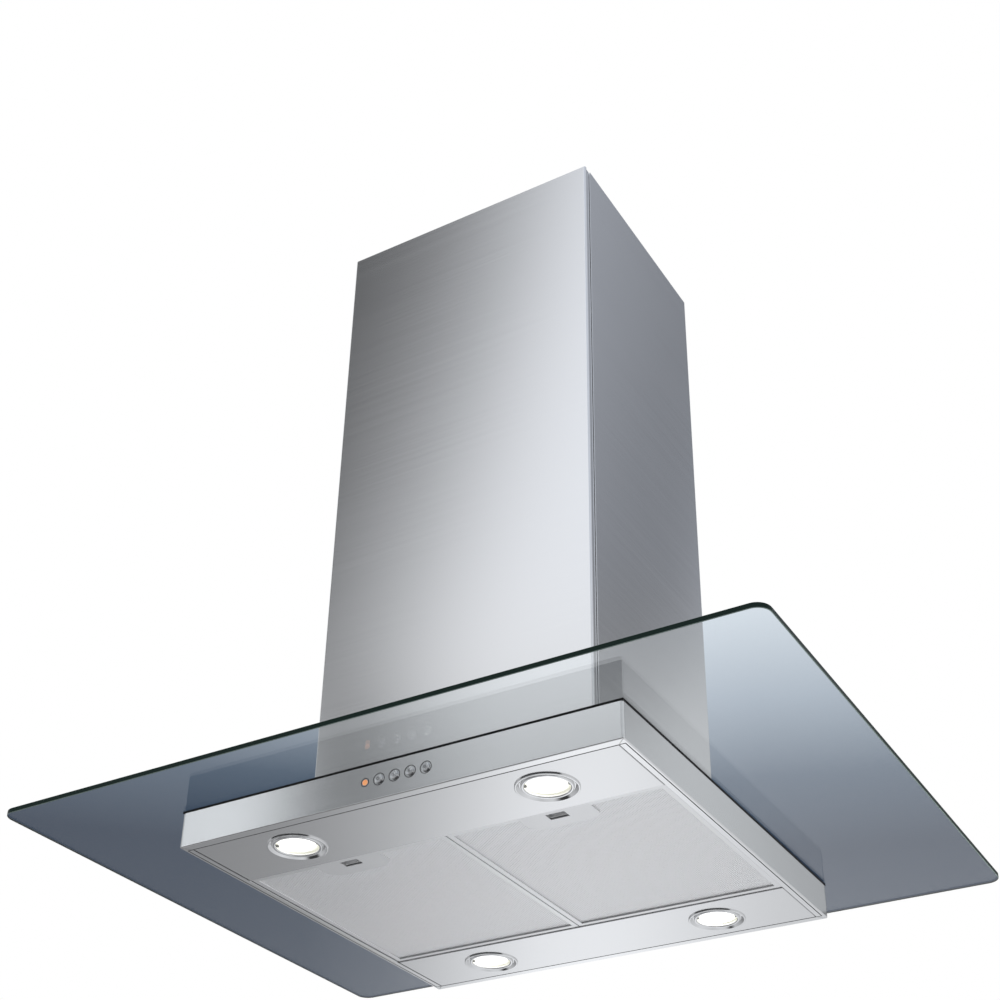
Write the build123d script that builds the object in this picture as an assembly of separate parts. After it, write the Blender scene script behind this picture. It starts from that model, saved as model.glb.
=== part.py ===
from build123d import *

import math
import os

# Island range hood: a glass canopy and a thin steel body hang under a telescoping chimney.
# Millimetres, +Z up. The origin is the centre of the ceiling plate's top face, so everything is
# below z = 0. +X runs to the right along the side that carries the push buttons, which faces -Y.

# ---- overall sizes -------------------------------------------------------------------------------
OVERALL_HEIGHT = 902.0  # ceiling to underside of the body, chimney pushed together
HEIGHT_TRAVEL = 250.0  # how far the hood can be let down on its uprights

GLASS_WIDTH = 900.0
GLASS_DEPTH = 700.0
GLASS_THICKNESS = 6.0
GLASS_CORNER_RADIUS = 15.0
GLASS_ARRIS = 0.6

BODY_WIDTH = 534.0
BODY_DEPTH = 520.0
BODY_HEIGHT = 42.5  # underside of the body to underside of the glass, gasket included
BODY_CORNER_RADIUS = 2.4
BODY_BEND_RADIUS = 1.2  # bend between the walls and the bottom return

CHIMNEY_WIDTH = 358.0
CHIMNEY_DEPTH = 300.0
CHIMNEY_CORNER_RADIUS = 2.4

# ---- sheet, gaskets and gaps ---------------------------------------------------------------------
SHEET = 0.8  # polished sheet of covers, body and panels
FRAME_SHEET = 2.0  # galvanised sheet of the hidden frame
BOX_SHEET = 1.0  # galvanised sheet of the air box
GASKET = 2.0
SEAM_GAP = 1.0  # open joint between two panels
SLIDE_GAP = 0.8  # between the two chimney sections, all round
SLIP_GAP = 0.3  # between pieces that slide flat on each other
LAP_GAP = 0.1  # between the two layers of a lapped seam
MITRE_GAP = 0.5  # open mitres and corner lines of the folded body
CORNER_LINE_DEPTH = 0.4
CEILING_GAP = 4.0  # top of the lower cover to the ceiling

# ---- ceiling plate and uprights ------------------------------------------------------------------
CEILING_PLATE_THICKNESS = 3.0
CEILING_PLATE_INSET = 5.0  # plate edge to inside of the upper cover
DUCT_HOLE_RADIUS = 100.0
CEILING_BOLT_SPACING_X = 240.0
CEILING_BOLT_SPACING_Y = 220.0
CEILING_BOLT_HOLE_RADIUS = 4.5
UPRIGHT_LEG = 25.0
UPRIGHT_INSET = 9.5  # outer face of an upper upright to outer face of the lower cover
UPPER_UPRIGHT_LENGTH = 517.0
LOWER_UPRIGHT_TOP_DROP = 40.0  # ceiling to the top of the lower uprights
TAB_WIDTH = 40.0
TAB_HEIGHT = 18.0
UPPER_COVER_LENGTH = 420.0
VENT_SLOTS = 9
VENT_SLOT_WIDTH = 3.5
VENT_SLOT_LENGTH = 50.0
VENT_SLOT_PITCH = 14.0
VENT_TOP_DROP = 45.0
COVER_RETURN = 12.0  # depth of the front cover's return round the corner
COVER_REVEAL = 1.6  # how far that return is set in from the faces beside it
SEAM_LAP = 11.0  # width of the tongue behind that return

# ---- fasteners -----------------------------------------------------------------------------------
M3_RADIUS = 1.5
M4_RADIUS = 2.0
M5_RADIUS = 2.5
M6_RADIUS = 3.0
HOLE_CLEARANCE = 0.3  # on radius
THREAD_GAP = 0.05  # on radius, between a screw and its thread
HEIGHT_BOLT_DROPS = (75.0, 135.0)  # ceiling to the two height bolts of each upright
SLOT_END_GAP = 4.0

# ---- glass cut-out, air box and blower -----------------------------------------------------------
CUTOUT_WIDTH = 270.0
CUTOUT_DEPTH = 230.0
CUTOUT_RADIUS = 15.0
CLAMP_HOLE_RADIUS = 6.5
BUSH_FLANGE_RADIUS = 11.0
BASE_RING_THICKNESS = 3.0
AIR_BOX_GAP = 4.0  # air box to the glass cut-out
AIR_BOX_HEIGHT = 264.0
AIR_BOX_FLANGE = 12.0
TOP_PLATE = 1.2
IMPELLER_RADIUS = 72.0
IMPELLER_EYE_RADIUS = 59.0
IMPELLER_LENGTH = 104.0
BLADES = 28
SCROLL_GAP = 9.0  # impeller to the scroll at its tightest
SCROLL_GROWTH = 6.0  # growth of the scroll's radius with each quarter turn
SCROLL_WALL = 2.0
SCROLL_WIDTH = 120.0
SCROLL_AXIS_RISE = 125.0  # body top plate to the blower shaft
SCROLL_INLET_RADIUS = 60.0
LUG_THICKNESS = 3.0
MOTOR_RADIUS = 42.0
MOTOR_LENGTH = 76.0
SHAFT_RADIUS = 4.0
BUSH_LENGTH = 11.0  # rubber bush between motor bracket and scroll
RUNNING_CLEARANCE = 0.06
SPIGOT_RADIUS = 75.0  # fits the usual 150 mm duct
SPIGOT_WALL = 2.0
SPIGOT_LENGTH = 50.0
ADAPTER_WIDTH = 164.0
ADAPTER_DEPTH = 196.0
ADAPTER_HEIGHT = 30.0
FLAP_THICKNESS = 1.5
FLAP_GAP = 1.0
FLAP_PIN_RADIUS = 2.0
FLAP_HINGE_OFFSET = 4.0
TERMINAL_BOX_DEPTH = 24.0
GLAND_BORE = 4.0  # on radius, for an 8 mm cable
CABLE_HOLE_RADIUS = 10.0

# ---- body underside ------------------------------------------------------------------------------
RIM = 10.0  # width of the body's bottom return
RIM_LIP = 10.0  # height of the lip inside the return
RIM_LEDGE = 6.0  # ledge on top of that lip
TOP_FLANGE = 17.0
PANEL_DEPTH = 100.0  # front to back of each lamp panel
PANEL_FLANGE = 11.0
KEEPER_HEIGHT = 6.0  # height of the panel flange that the filter's tongue and hooks pass over
LAMP_PITCH_X = 306.0
LAMP_INSET_Y = 58.0  # lamp centre to the body's front or rear face
BEZEL_RADIUS = 33.0
BEZEL_FACE = 1.5
BEZEL_COLLAR_RADIUS = 30.5
BEZEL_LAND = 1.8  # flat rim of the bezel's face
BEZEL_GROOVE = 1.2  # groove between the dish and the inner ring
BEZEL_RING_RADIUS = 27.0
BEZEL_RING_WIDTH = 3.8
LENS_RADIUS = 24.5
LENS_THICKNESS = 2.5
BULB_RADIUS = 22.0

# ---- grease filters ------------------------------------------------------------------------------
FILTER_RECESS = 1.0  # filter underside above the panels' underside
FILTER_THICKNESS = 9.0
FILTER_BORDER = 6.5
FILTER_WALL = 1.0
MESH_RECESS = 1.5
MESH_THICKNESS = 5.0
FILTER_SEAM = 1.0
LATCH_WIDTH = 83.0
LATCH_DEPTH = 37.0
LATCH_CHAMFER = 11.0
GRIP_WIDTH = 22.0
GRIP_DEPTH = 13.0
GRIP_FRONT = 6.0  # front edge of the filter to the finger recess
LATCH_TRAVEL = 4.0
LATCH_REST_GAP = 0.6
TONGUE_WIDTH = 16.0
TONGUE_THICKNESS = 1.8
GRIP_SKIN = 1.2
GRIP_BAR = 3.0
HOOK_WIDTH = 20.0
HOOK_REACH = 7.0

# ---- controls ------------------------------------------------------------------------------------
BUTTONS = ("light", "speed_low", "speed_high", "boost")
BUTTON_PITCH = 18.8
FIRST_BUTTON_X = -10.0
INDICATOR_X = -27.0
CONTROL_DROP = 20.4  # underside of the glass to the row of buttons
BUTTON_RADIUS = 4.8
BUTTON_PROUD = 1.8
BUTTON_TRAVEL = 1.2
BUTTON_HOLE_GAP = 0.2
INDICATOR_RADIUS = 3.0

# ---- heights and widths worked out from the values above -----------------------------------------
Z_UNDERSIDE = -OVERALL_HEIGHT
Z_GLASS = Z_UNDERSIDE + BODY_HEIGHT
Z_GLASS_TOP = Z_GLASS + GLASS_THICKNESS
Z_BODY_TOP = Z_GLASS - GASKET
Z_CHIMNEY_FOOT = Z_GLASS_TOP + GASKET
Z_RING_TOP = Z_CHIMNEY_FOOT + BASE_RING_THICKNESS
Z_TOP_PLATE = Z_BODY_TOP - SHEET  # upper face of the body top plate
Z_TOP_PLATE_BOTTOM = Z_TOP_PLATE - TOP_PLATE
Z_AIR_BOX_TOP = Z_TOP_PLATE_BOTTOM + AIR_BOX_HEIGHT
Z_SHAFT = Z_TOP_PLATE + SCROLL_AXIS_RISE
Z_ADAPTER_TOP = Z_AIR_BOX_TOP + ADAPTER_HEIGHT
Z_SPIGOT_TOP = Z_ADAPTER_TOP + SPIGOT_LENGTH
Z_CONTROLS = Z_GLASS - CONTROL_DROP
Z_FILTER = Z_UNDERSIDE + FILTER_RECESS
Z_FILTER_TOP = Z_FILTER + FILTER_THICKNESS
Z_PANEL_FLANGE_TOP = Z_UNDERSIDE + PANEL_FLANGE

SECTION_STEP = COVER_REVEAL + 2 * (SHEET + LAP_GAP) + SLIDE_GAP - LAP_GAP
UPPER_COVER_WIDTH = CHIMNEY_WIDTH - 2 * SECTION_STEP
UPPER_COVER_DEPTH = CHIMNEY_DEPTH - 2 * SECTION_STEP
UPRIGHT_X = CHIMNEY_WIDTH / 2 - UPRIGHT_INSET  # outer faces of the upper uprights
UPRIGHT_Y = CHIMNEY_DEPTH / 2 - UPRIGHT_INSET
LOWER_UPRIGHT_X = UPRIGHT_X - FRAME_SHEET - SLIP_GAP
LOWER_UPRIGHT_Y = UPRIGHT_Y - FRAME_SHEET - SLIP_GAP
SLOT_X = UPRIGHT_X - UPRIGHT_LEG / 2
FOOT = UPRIGHT_LEG - FRAME_SHEET
UPPER_FOOT_X = UPRIGHT_X - FRAME_SHEET - FOOT / 2
UPPER_FOOT_Y = UPRIGHT_Y - FRAME_SHEET - FOOT / 2
CLAMP_X = LOWER_UPRIGHT_X - FRAME_SHEET - FOOT / 2
CLAMP_Y = LOWER_UPRIGHT_Y - FRAME_SHEET - FOOT / 2
AIR_BOX_WIDTH = CUTOUT_WIDTH - 2 * AIR_BOX_GAP
AIR_BOX_DEPTH = CUTOUT_DEPTH - 2 * AIR_BOX_GAP
AIR_BOX_RADIUS = CUTOUT_RADIUS - AIR_BOX_GAP
PANEL_WIDTH = BODY_WIDTH - 2 * (RIM + SEAM_GAP)
PANEL_FRONT_Y = -BODY_DEPTH / 2 + RIM + SEAM_GAP
PANEL_REAR_Y = -BODY_DEPTH / 2 + RIM + PANEL_DEPTH
LEDGE_TOP = Z_UNDERSIDE + RIM_LIP
LAMP_Y = BODY_DEPTH / 2 - LAMP_INSET_Y
FILTER_FRONT_Y = PANEL_REAR_Y + SEAM_GAP
FILTER_LENGTH = -2 * FILTER_FRONT_Y
FILTER_WIDTH = (PANEL_WIDTH - FILTER_SEAM) / 2
FILTER_X = (FILTER_WIDTH + FILTER_SEAM) / 2
FRONT_FACE_Y = -BODY_DEPTH / 2
SIDES = {"left": -1, "right": 1}
ENDS = {"front": -1, "rear": 1}
CORNERS = [(-1, -1), (1, -1), (1, 1), (-1, 1)]


def block(x0, x1, y0, y1, z0, z1):
    """A box given by its faces."""
    return Pos((x0 + x1) / 2, (y0 + y1) / 2, (z0 + z1) / 2) * Box(
        abs(x1 - x0), abs(y1 - y0), abs(z1 - z0)
    )


def slab(width, depth, z0, z1, radius=0.0):
    """A centred plate with rounded corners."""
    outline = Rectangle(width, depth)
    if radius > 0:
        outline = RectangleRounded(width, depth, radius)
    return Pos(0, 0, z0) * extrude(outline, z1 - z0)


def ring(width, depth, rim_x, rim_y, z0, z1, radius=0.0):
    """A centred frame, rim_x wide at its sides and rim_y at its front and rear."""
    inner_radius = max(radius - min(rim_x, rim_y), 0.0)
    hole = slab(width - 2 * rim_x, depth - 2 * rim_y, z0, z1, inner_radius)
    return slab(width, depth, z0, z1, radius) - hole


def rod(x, y, z0, z1, radius):
    """An upright round bar."""
    return Pos(x, y, (z0 + z1) / 2) * Cylinder(radius, abs(z1 - z0))


def rod_y(x, z, y0, y1, radius):
    """A round bar along Y."""
    return Pos(x, (y0 + y1) / 2, z) * Rot(90, 0, 0) * Cylinder(radius, abs(y1 - y0))


def rod_x(y, z, x0, x1, radius):
    """A round bar along X."""
    return Pos((x0 + x1) / 2, y, z) * Rot(0, 90, 0) * Cylinder(radius, abs(x1 - x0))


def tube_x(y, z, x0, x1, outer, inner):
    return rod_x(y, z, x0, x1, outer) - rod_x(y, z, x0, x1, inner)


def hexagon(x, y, z0, z1, radius):
    """A nut or bolt head with its corners at radius, axis up."""
    return Pos(x, y, z0) * extrude(RegularPolygon(radius, 6), z1 - z0)


def hexagon_y(x, z, y0, y1, radius):
    """The same with its axis along Y."""
    return Pos(x, max(y0, y1), z) * Rot(90, 0, 0) * extrude(RegularPolygon(radius, 6), abs(y1 - y0))


def save(shape, name):
    """Writes one node; a list is a group of separate solids."""
    if isinstance(shape, list):
        shape = Compound([solid for piece in shape for solid in piece.solids()])
    shape.label = name
    export_step(shape, f"parts/{name}.step")


def bolt_down(x, y, z_head, z_end, radius, nut_top):
    """A hex bolt whose head sits on z_head, with a nut under nut_top: two solids."""
    head = hexagon(x, y, z_head, z_head + 1.3 * radius, 1.9 * radius)
    bolt = head + rod(x, y, z_end, z_head, radius)
    nut = hexagon(x, y, nut_top - 1.6 * radius, nut_top, 1.9 * radius)
    nut -= rod(x, y, nut_top - 1.6 * radius, nut_top, radius + THREAD_GAP)
    return [bolt, nut]


def pan_screw(x, y, z_head, z_end, radius):
    """A round-headed screw whose head sits on z_head and whose shank ends at z_end."""
    away = 1 if z_head > z_end else -1
    head = rod(x, y, z_head, z_head + away * radius, 2 * radius)
    return fillet(head.edges(), radius / 4) + rod(x, y, z_head, z_end, radius)


# ---- ceiling side --------------------------------------------------------------------------------
def ceiling_plate():
    """Steel plate screwed to the ceiling, with four tabs that hold the upper cover."""
    half_x = UPPER_COVER_WIDTH / 2 - SHEET - CEILING_PLATE_INSET
    half_y = UPPER_COVER_DEPTH / 2 - SHEET - CEILING_PLATE_INSET
    plate = slab(2 * half_x, 2 * half_y, -CEILING_PLATE_THICKNESS, 0)
    plate -= rod(0, 0, -CEILING_PLATE_THICKNESS, 0, DUCT_HOLE_RADIUS)
    plate -= rod(0, gland_y(), -CEILING_PLATE_THICKNESS, 0, CABLE_HOLE_RADIUS)
    for sx, sy in CORNERS:
        x = sx * CEILING_BOLT_SPACING_X / 2
        y = sy * CEILING_BOLT_SPACING_Y / 2
        plate -= rod(x, y, -CEILING_PLATE_THICKNESS, 0, CEILING_BOLT_HOLE_RADIUS)
        foot_x, foot_y = sx * UPPER_FOOT_X, sy * UPPER_FOOT_Y
        plate -= rod(foot_x, foot_y, -CEILING_PLATE_THICKNESS, 0, M6_RADIUS + HOLE_CLEARANCE)
    for side in SIDES.values():
        outer = side * (half_x + CEILING_PLATE_INSET)
        inner = outer - side * FRAME_SHEET
        plate += block(side * half_x, outer, -TAB_WIDTH / 2, TAB_WIDTH / 2, -CEILING_PLATE_THICKNESS, 0)
        tab = block(inner, outer, -TAB_WIDTH / 2, TAB_WIDTH / 2, -TAB_HEIGHT, 0)
        plate += tab - rod_x(0, cover_screw_z(), inner, outer, M4_RADIUS + HOLE_CLEARANCE)
    for end in ENDS.values():
        outer = end * (half_y + CEILING_PLATE_INSET)
        inner = outer - end * FRAME_SHEET
        plate += block(-TAB_WIDTH / 2, TAB_WIDTH / 2, end * half_y, outer, -CEILING_PLATE_THICKNESS, 0)
        tab = block(-TAB_WIDTH / 2, TAB_WIDTH / 2, inner, outer, -TAB_HEIGHT, 0)
        plate += tab - rod_y(0, cover_screw_z(), inner, outer, M4_RADIUS + HOLE_CLEARANCE)
    return plate


def cover_screw_z():
    return -(TAB_HEIGHT + CEILING_PLATE_THICKNESS) / 2


def angle(sx, sy, outer_x, outer_y, z0, z1):
    """An L section whose two outer faces look away from the chimney's axis."""
    x0, x1 = sx * (outer_x - UPRIGHT_LEG), sx * outer_x
    y0, y1 = sy * (outer_y - UPRIGHT_LEG), sy * outer_y
    leg_x = block(x0, x1, y1 - sy * FRAME_SHEET, y1, z0, z1)
    leg_y = block(x1 - sx * FRAME_SHEET, x1, y0, y1, z0, z1)
    return leg_x + leg_y


def upper_upright(sx, sy):
    """Slotted angle hung from the ceiling plate by a folded foot."""
    top = -CEILING_PLATE_THICKNESS
    bottom = top - UPPER_UPRIGHT_LENGTH
    upright = angle(sx, sy, UPRIGHT_X, UPRIGHT_Y, bottom, top)
    foot_x, foot_y = sx * UPPER_FOOT_X, sy * UPPER_FOOT_Y
    foot = block(foot_x - FOOT / 2, foot_x + FOOT / 2, foot_y - FOOT / 2, foot_y + FOOT / 2, top - FRAME_SHEET, top)
    upright += foot - rod(foot_x, foot_y, top - FRAME_SHEET, top, M6_RADIUS + HOLE_CLEARANCE)
    slot_top = -HEIGHT_BOLT_DROPS[0] + SLOT_END_GAP
    slot_bottom = -HEIGHT_BOLT_DROPS[-1] - HEIGHT_TRAVEL - SLOT_END_GAP
    half = M5_RADIUS + HOLE_CLEARANCE
    y0, y1 = sy * (UPRIGHT_Y - FRAME_SHEET), sy * UPRIGHT_Y
    upright -= block(sx * SLOT_X - half, sx * SLOT_X + half, y0, y1, slot_bottom, slot_top)
    return upright


def frame_bolts():
    """Bolts up through the uprights' feet into the ceiling plate."""
    pieces = []
    for sx, sy in CORNERS:
        x, y = sx * UPPER_FOOT_X, sy * UPPER_FOOT_Y
        foot_bottom = -CEILING_PLATE_THICKNESS - FRAME_SHEET
        end = foot_bottom - 3 * M6_RADIUS
        head = hexagon(x, y, end, foot_bottom, 1.9 * M6_RADIUS)
        pieces.append(head + rod(x, y, foot_bottom, 0, M6_RADIUS))
    return pieces


def cover_front(width, depth, z0, z1):
    """Front panel, hemmed at its upright edges, with a return set in behind each hem."""
    half_x, half_y = width / 2, depth / 2
    shell = ring(width, depth, SHEET, SHEET, z0, z1, CHIMNEY_CORNER_RADIUS)
    hem_end = -half_y + CHIMNEY_CORNER_RADIUS + SHEET
    cover = shell & block(-half_x, half_x, -half_y, hem_end, z0, z1)
    for side in SIDES.values():
        outer = side * (half_x - COVER_REVEAL)
        inner = outer - side * SHEET
        cover += block(inner, side * half_x, hem_end - SHEET, hem_end, z0, z1)
        cover += block(inner, outer, hem_end - SHEET, -half_y + COVER_RETURN, z0, z1)
    return cover


def cover_rear(width, depth, z0, z1):
    """U of rear panel and two sides; a tongue on each side runs behind the front's return."""
    half_x, half_y = width / 2, depth / 2
    shell = ring(width, depth, SHEET, SHEET, z0, z1, CHIMNEY_CORNER_RADIUS)
    side_start = -half_y + COVER_RETURN + SEAM_GAP
    cover = shell & block(-half_x, half_x, side_start, half_y, z0, z1)
    step = COVER_REVEAL + SHEET + LAP_GAP
    for side in SIDES.values():
        outer = side * (half_x - step)
        inner = outer - side * SHEET
        tongue_end = side_start + SHEET
        cover += block(inner, outer, side_start - SEAM_LAP, tongue_end, z0, z1)
        cover += block(inner, side * half_x, side_start, tongue_end, z0, z1)
    return cover


def upper_cover_front():
    """Upper section's front, which slides inside the lower section."""
    cover = cover_front(UPPER_COVER_WIDTH, UPPER_COVER_DEPTH, -UPPER_COVER_LENGTH, 0)
    return cover - cover_screw_hole_y(-1)


def upper_cover_rear():
    """Upper section's sides and rear, with vent slots for use without a duct."""
    cover = cover_rear(UPPER_COVER_WIDTH, UPPER_COVER_DEPTH, -UPPER_COVER_LENGTH, 0)
    cover -= cover_screw_hole_y(1)
    for side in SIDES.values():
        cover -= cover_screw_hole_x(side)
        for i in range(VENT_SLOTS):
            y = (i - (VENT_SLOTS - 1) / 2) * VENT_SLOT_PITCH
            x0 = side * UPPER_COVER_WIDTH / 2
            x1 = x0 - side * SHEET
            z1 = -VENT_TOP_DROP
            half = VENT_SLOT_WIDTH / 2
            cover -= block(x0, x1, y - half, y + half, z1 - VENT_SLOT_LENGTH, z1)
    return cover


def sink(radius_out, radius_in):
    """A countersink one sheet deep, wide end up."""
    return Cone(radius_in, radius_out, SHEET)


def cover_screw_hole_x(side):
    x = side * (UPPER_COVER_WIDTH - SHEET) / 2
    cone = sink(2 * M4_RADIUS + HOLE_CLEARANCE, M4_RADIUS + HOLE_CLEARANCE)
    return Pos(x, 0, cover_screw_z()) * Rot(0, side * 90, 0) * cone


def cover_screw_hole_y(end):
    y = end * (UPPER_COVER_DEPTH - SHEET) / 2
    cone = sink(2 * M4_RADIUS + HOLE_CLEARANCE, M4_RADIUS + HOLE_CLEARANCE)
    return Pos(0, y, cover_screw_z()) * Rot(-end * 90, 0, 0) * cone


def upper_cover_screws():
    """Countersunk screws, flush with the cover so that the lower section passes over them."""
    shank = 3 * M4_RADIUS
    screw = Pos(0, 0, SHEET / 2) * sink(2 * M4_RADIUS, M4_RADIUS)
    screw += Pos(0, 0, -shank / 2) * Cylinder(M4_RADIUS, shank)
    screws = []
    for side in SIDES.values():
        x = side * (UPPER_COVER_WIDTH / 2 - SHEET)
        screws.append(Pos(x, 0, cover_screw_z()) * Rot(0, side * 90, 0) * screw)
    for end in ENDS.values():
        y = end * (UPPER_COVER_DEPTH / 2 - SHEET)
        screws.append(Pos(0, y, cover_screw_z()) * Rot(-end * 90, 0, 0) * screw)
    return screws


# ---- hanging frame and chimney -------------------------------------------------------------------
def lower_upright(sx, sy):
    """Angle that nests inside an upper upright; its foot stands on the base ring."""
    upright = angle(sx, sy, LOWER_UPRIGHT_X, LOWER_UPRIGHT_Y, Z_RING_TOP, -LOWER_UPRIGHT_TOP_DROP)
    x, y = sx * CLAMP_X, sy * CLAMP_Y
    foot = block(x - FOOT / 2, x + FOOT / 2, y - FOOT / 2, y + FOOT / 2, Z_RING_TOP, Z_RING_TOP + FRAME_SHEET)
    upright += foot - rod(x, y, Z_RING_TOP, Z_RING_TOP + FRAME_SHEET, M6_RADIUS + HOLE_CLEARANCE)
    y0, y1 = sy * (LOWER_UPRIGHT_Y - FRAME_SHEET), sy * LOWER_UPRIGHT_Y
    for drop in HEIGHT_BOLT_DROPS:
        upright -= rod_y(sx * SLOT_X, -drop, y0, y1, M5_RADIUS + THREAD_GAP)
    return upright


def height_bolts():
    """Two bolts and nuts at each corner clamp the nested uprights at the chosen height."""
    pieces = []
    for sx, sy in CORNERS:
        for drop in HEIGHT_BOLT_DROPS:
            x, z = sx * SLOT_X, -drop
            head_y = sy * (UPRIGHT_Y + SLIP_GAP)
            nut_y = sy * (LOWER_UPRIGHT_Y - FRAME_SHEET)
            nut_end = nut_y - sy * 1.6 * M5_RADIUS
            shank_end = nut_end - sy * M5_RADIUS
            head = hexagon_y(x, z, head_y, head_y + sy * 1.2 * M5_RADIUS, 1.8 * M5_RADIUS)
            pieces.append(head + rod_y(x, z, head_y, shank_end, M5_RADIUS))
            nut = hexagon_y(x, z, nut_end, nut_y, 1.8 * M5_RADIUS)
            pieces.append(nut - rod_y(x, z, nut_end, nut_y, M5_RADIUS + THREAD_GAP))
    return pieces


def base_ring_size():
    return CHIMNEY_WIDTH - 2 * UPRIGHT_INSET + 2 * SLIP_GAP, CHIMNEY_DEPTH - 2 * UPRIGHT_INSET + 2 * SLIP_GAP


def frame_base():
    """Steel ring on the glass that carries the uprights, with tabs that locate the cover."""
    width, depth = base_ring_size()
    rim_x, rim_y = (width - CUTOUT_WIDTH) / 2, (depth - CUTOUT_DEPTH) / 2
    base = ring(width, depth, rim_x, rim_y, Z_CHIMNEY_FOOT, Z_RING_TOP)
    for sx, sy in CORNERS:
        base -= rod(sx * CLAMP_X, sy * CLAMP_Y, Z_CHIMNEY_FOOT, Z_RING_TOP, M6_RADIUS + HOLE_CLEARANCE)
    top = Z_RING_TOP + TAB_HEIGHT
    for side in SIDES.values():
        x = side * width / 2
        base += block(x, x - side * FRAME_SHEET, -TAB_WIDTH / 2, TAB_WIDTH / 2, Z_CHIMNEY_FOOT, top)
    for end in ENDS.values():
        y = end * depth / 2
        base += block(-TAB_WIDTH / 2, TAB_WIDTH / 2, y, y - end * FRAME_SHEET, Z_CHIMNEY_FOOT, top)
    return base


def cover_clips():
    """Spring clips on the base ring's tabs that press the cover outwards and hold it."""
    width, depth = base_ring_size()
    half = TAB_WIDTH / 4
    z0 = Z_RING_TOP + TAB_HEIGHT / 4
    z1 = Z_RING_TOP + TAB_HEIGHT
    clips = []
    for side in SIDES.values():
        x0, x1 = side * width / 2, side * (CHIMNEY_WIDTH / 2 - SHEET)
        clips.append(block(x0, x1, -half, half, z0, z1) - block(x0 + side, x1 - side, -half, half, z0, z1 - 1))
    for end in ENDS.values():
        y0, y1 = end * depth / 2, end * (CHIMNEY_DEPTH / 2 - SHEET)
        clips.append(block(-half, half, y0, y1, z0, z1) - block(-half, half, y0 + end, y1 - end, z0, z1 - 1))
    return clips


def clamp_bolts():
    """Bolts through foot, ring, gasket, bushed glass hole and body top plate."""
    pieces = []
    head = Z_RING_TOP + FRAME_SHEET
    end = Z_TOP_PLATE_BOTTOM - 3 * M6_RADIUS
    for sx, sy in CORNERS:
        pieces += bolt_down(sx * CLAMP_X, sy * CLAMP_Y, head, end, M6_RADIUS, Z_TOP_PLATE_BOTTOM)
    return pieces


def lower_cover_front():
    """Polished front of the lower chimney section."""
    return cover_front(CHIMNEY_WIDTH, CHIMNEY_DEPTH, Z_CHIMNEY_FOOT, -CEILING_GAP)


def lower_cover_rear():
    """Polished sides and rear of the lower chimney section."""
    return cover_rear(CHIMNEY_WIDTH, CHIMNEY_DEPTH, Z_CHIMNEY_FOOT, -CEILING_GAP)


def chimney_gasket():
    """Flat rubber between the glass and what stands on it."""
    rim_x, rim_y = (CHIMNEY_WIDTH - CUTOUT_WIDTH) / 2, (CHIMNEY_DEPTH - CUTOUT_DEPTH) / 2
    gasket = ring(CHIMNEY_WIDTH, CHIMNEY_DEPTH, rim_x, rim_y, Z_GLASS_TOP, Z_CHIMNEY_FOOT, CHIMNEY_CORNER_RADIUS)
    for sx, sy in CORNERS:
        gasket -= rod(sx * CLAMP_X, sy * CLAMP_Y, Z_GLASS_TOP, Z_CHIMNEY_FOOT, M6_RADIUS + HOLE_CLEARANCE)
    return gasket


def glass_canopy():
    """Tempered glass with ground edges, a central cut-out and four clamp holes."""
    glass = slab(GLASS_WIDTH, GLASS_DEPTH, Z_GLASS, Z_GLASS_TOP, GLASS_CORNER_RADIUS)
    levels = glass.edges().group_by(Axis.Z)
    glass = chamfer(levels[0] + levels[-1], GLASS_ARRIS)
    glass -= slab(CUTOUT_WIDTH, CUTOUT_DEPTH, Z_GLASS, Z_GLASS_TOP, CUTOUT_RADIUS)
    for sx, sy in CORNERS:
        glass -= rod(sx * CLAMP_X, sy * CLAMP_Y, Z_GLASS, Z_GLASS_TOP, CLAMP_HOLE_RADIUS)
    return glass


def glass_bushes():
    """Rubber bushes that keep the clamp bolts and the steel off the glass."""
    bushes = []
    for sx, sy in CORNERS:
        x, y = sx * CLAMP_X, sy * CLAMP_Y
        bush = rod(x, y, Z_TOP_PLATE, Z_GLASS, BUSH_FLANGE_RADIUS)
        bush += rod(x, y, Z_GLASS, Z_GLASS_TOP, CLAMP_HOLE_RADIUS)
        bushes.append(bush - rod(x, y, Z_TOP_PLATE, Z_GLASS_TOP, M6_RADIUS + HOLE_CLEARANCE))
    return bushes


# ---- body ----------------------------------------------------------------------------------------
def canopy_gasket():
    """Black gasket between the body and the glass, a hair inside the body's edge."""
    width, depth = BODY_WIDTH - 2 * SEAM_GAP, BODY_DEPTH - 2 * SEAM_GAP
    rim = TOP_FLANGE - 2 * SEAM_GAP
    return ring(width, depth, rim, rim, Z_BODY_TOP, Z_GLASS, BODY_CORNER_RADIUS)


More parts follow.
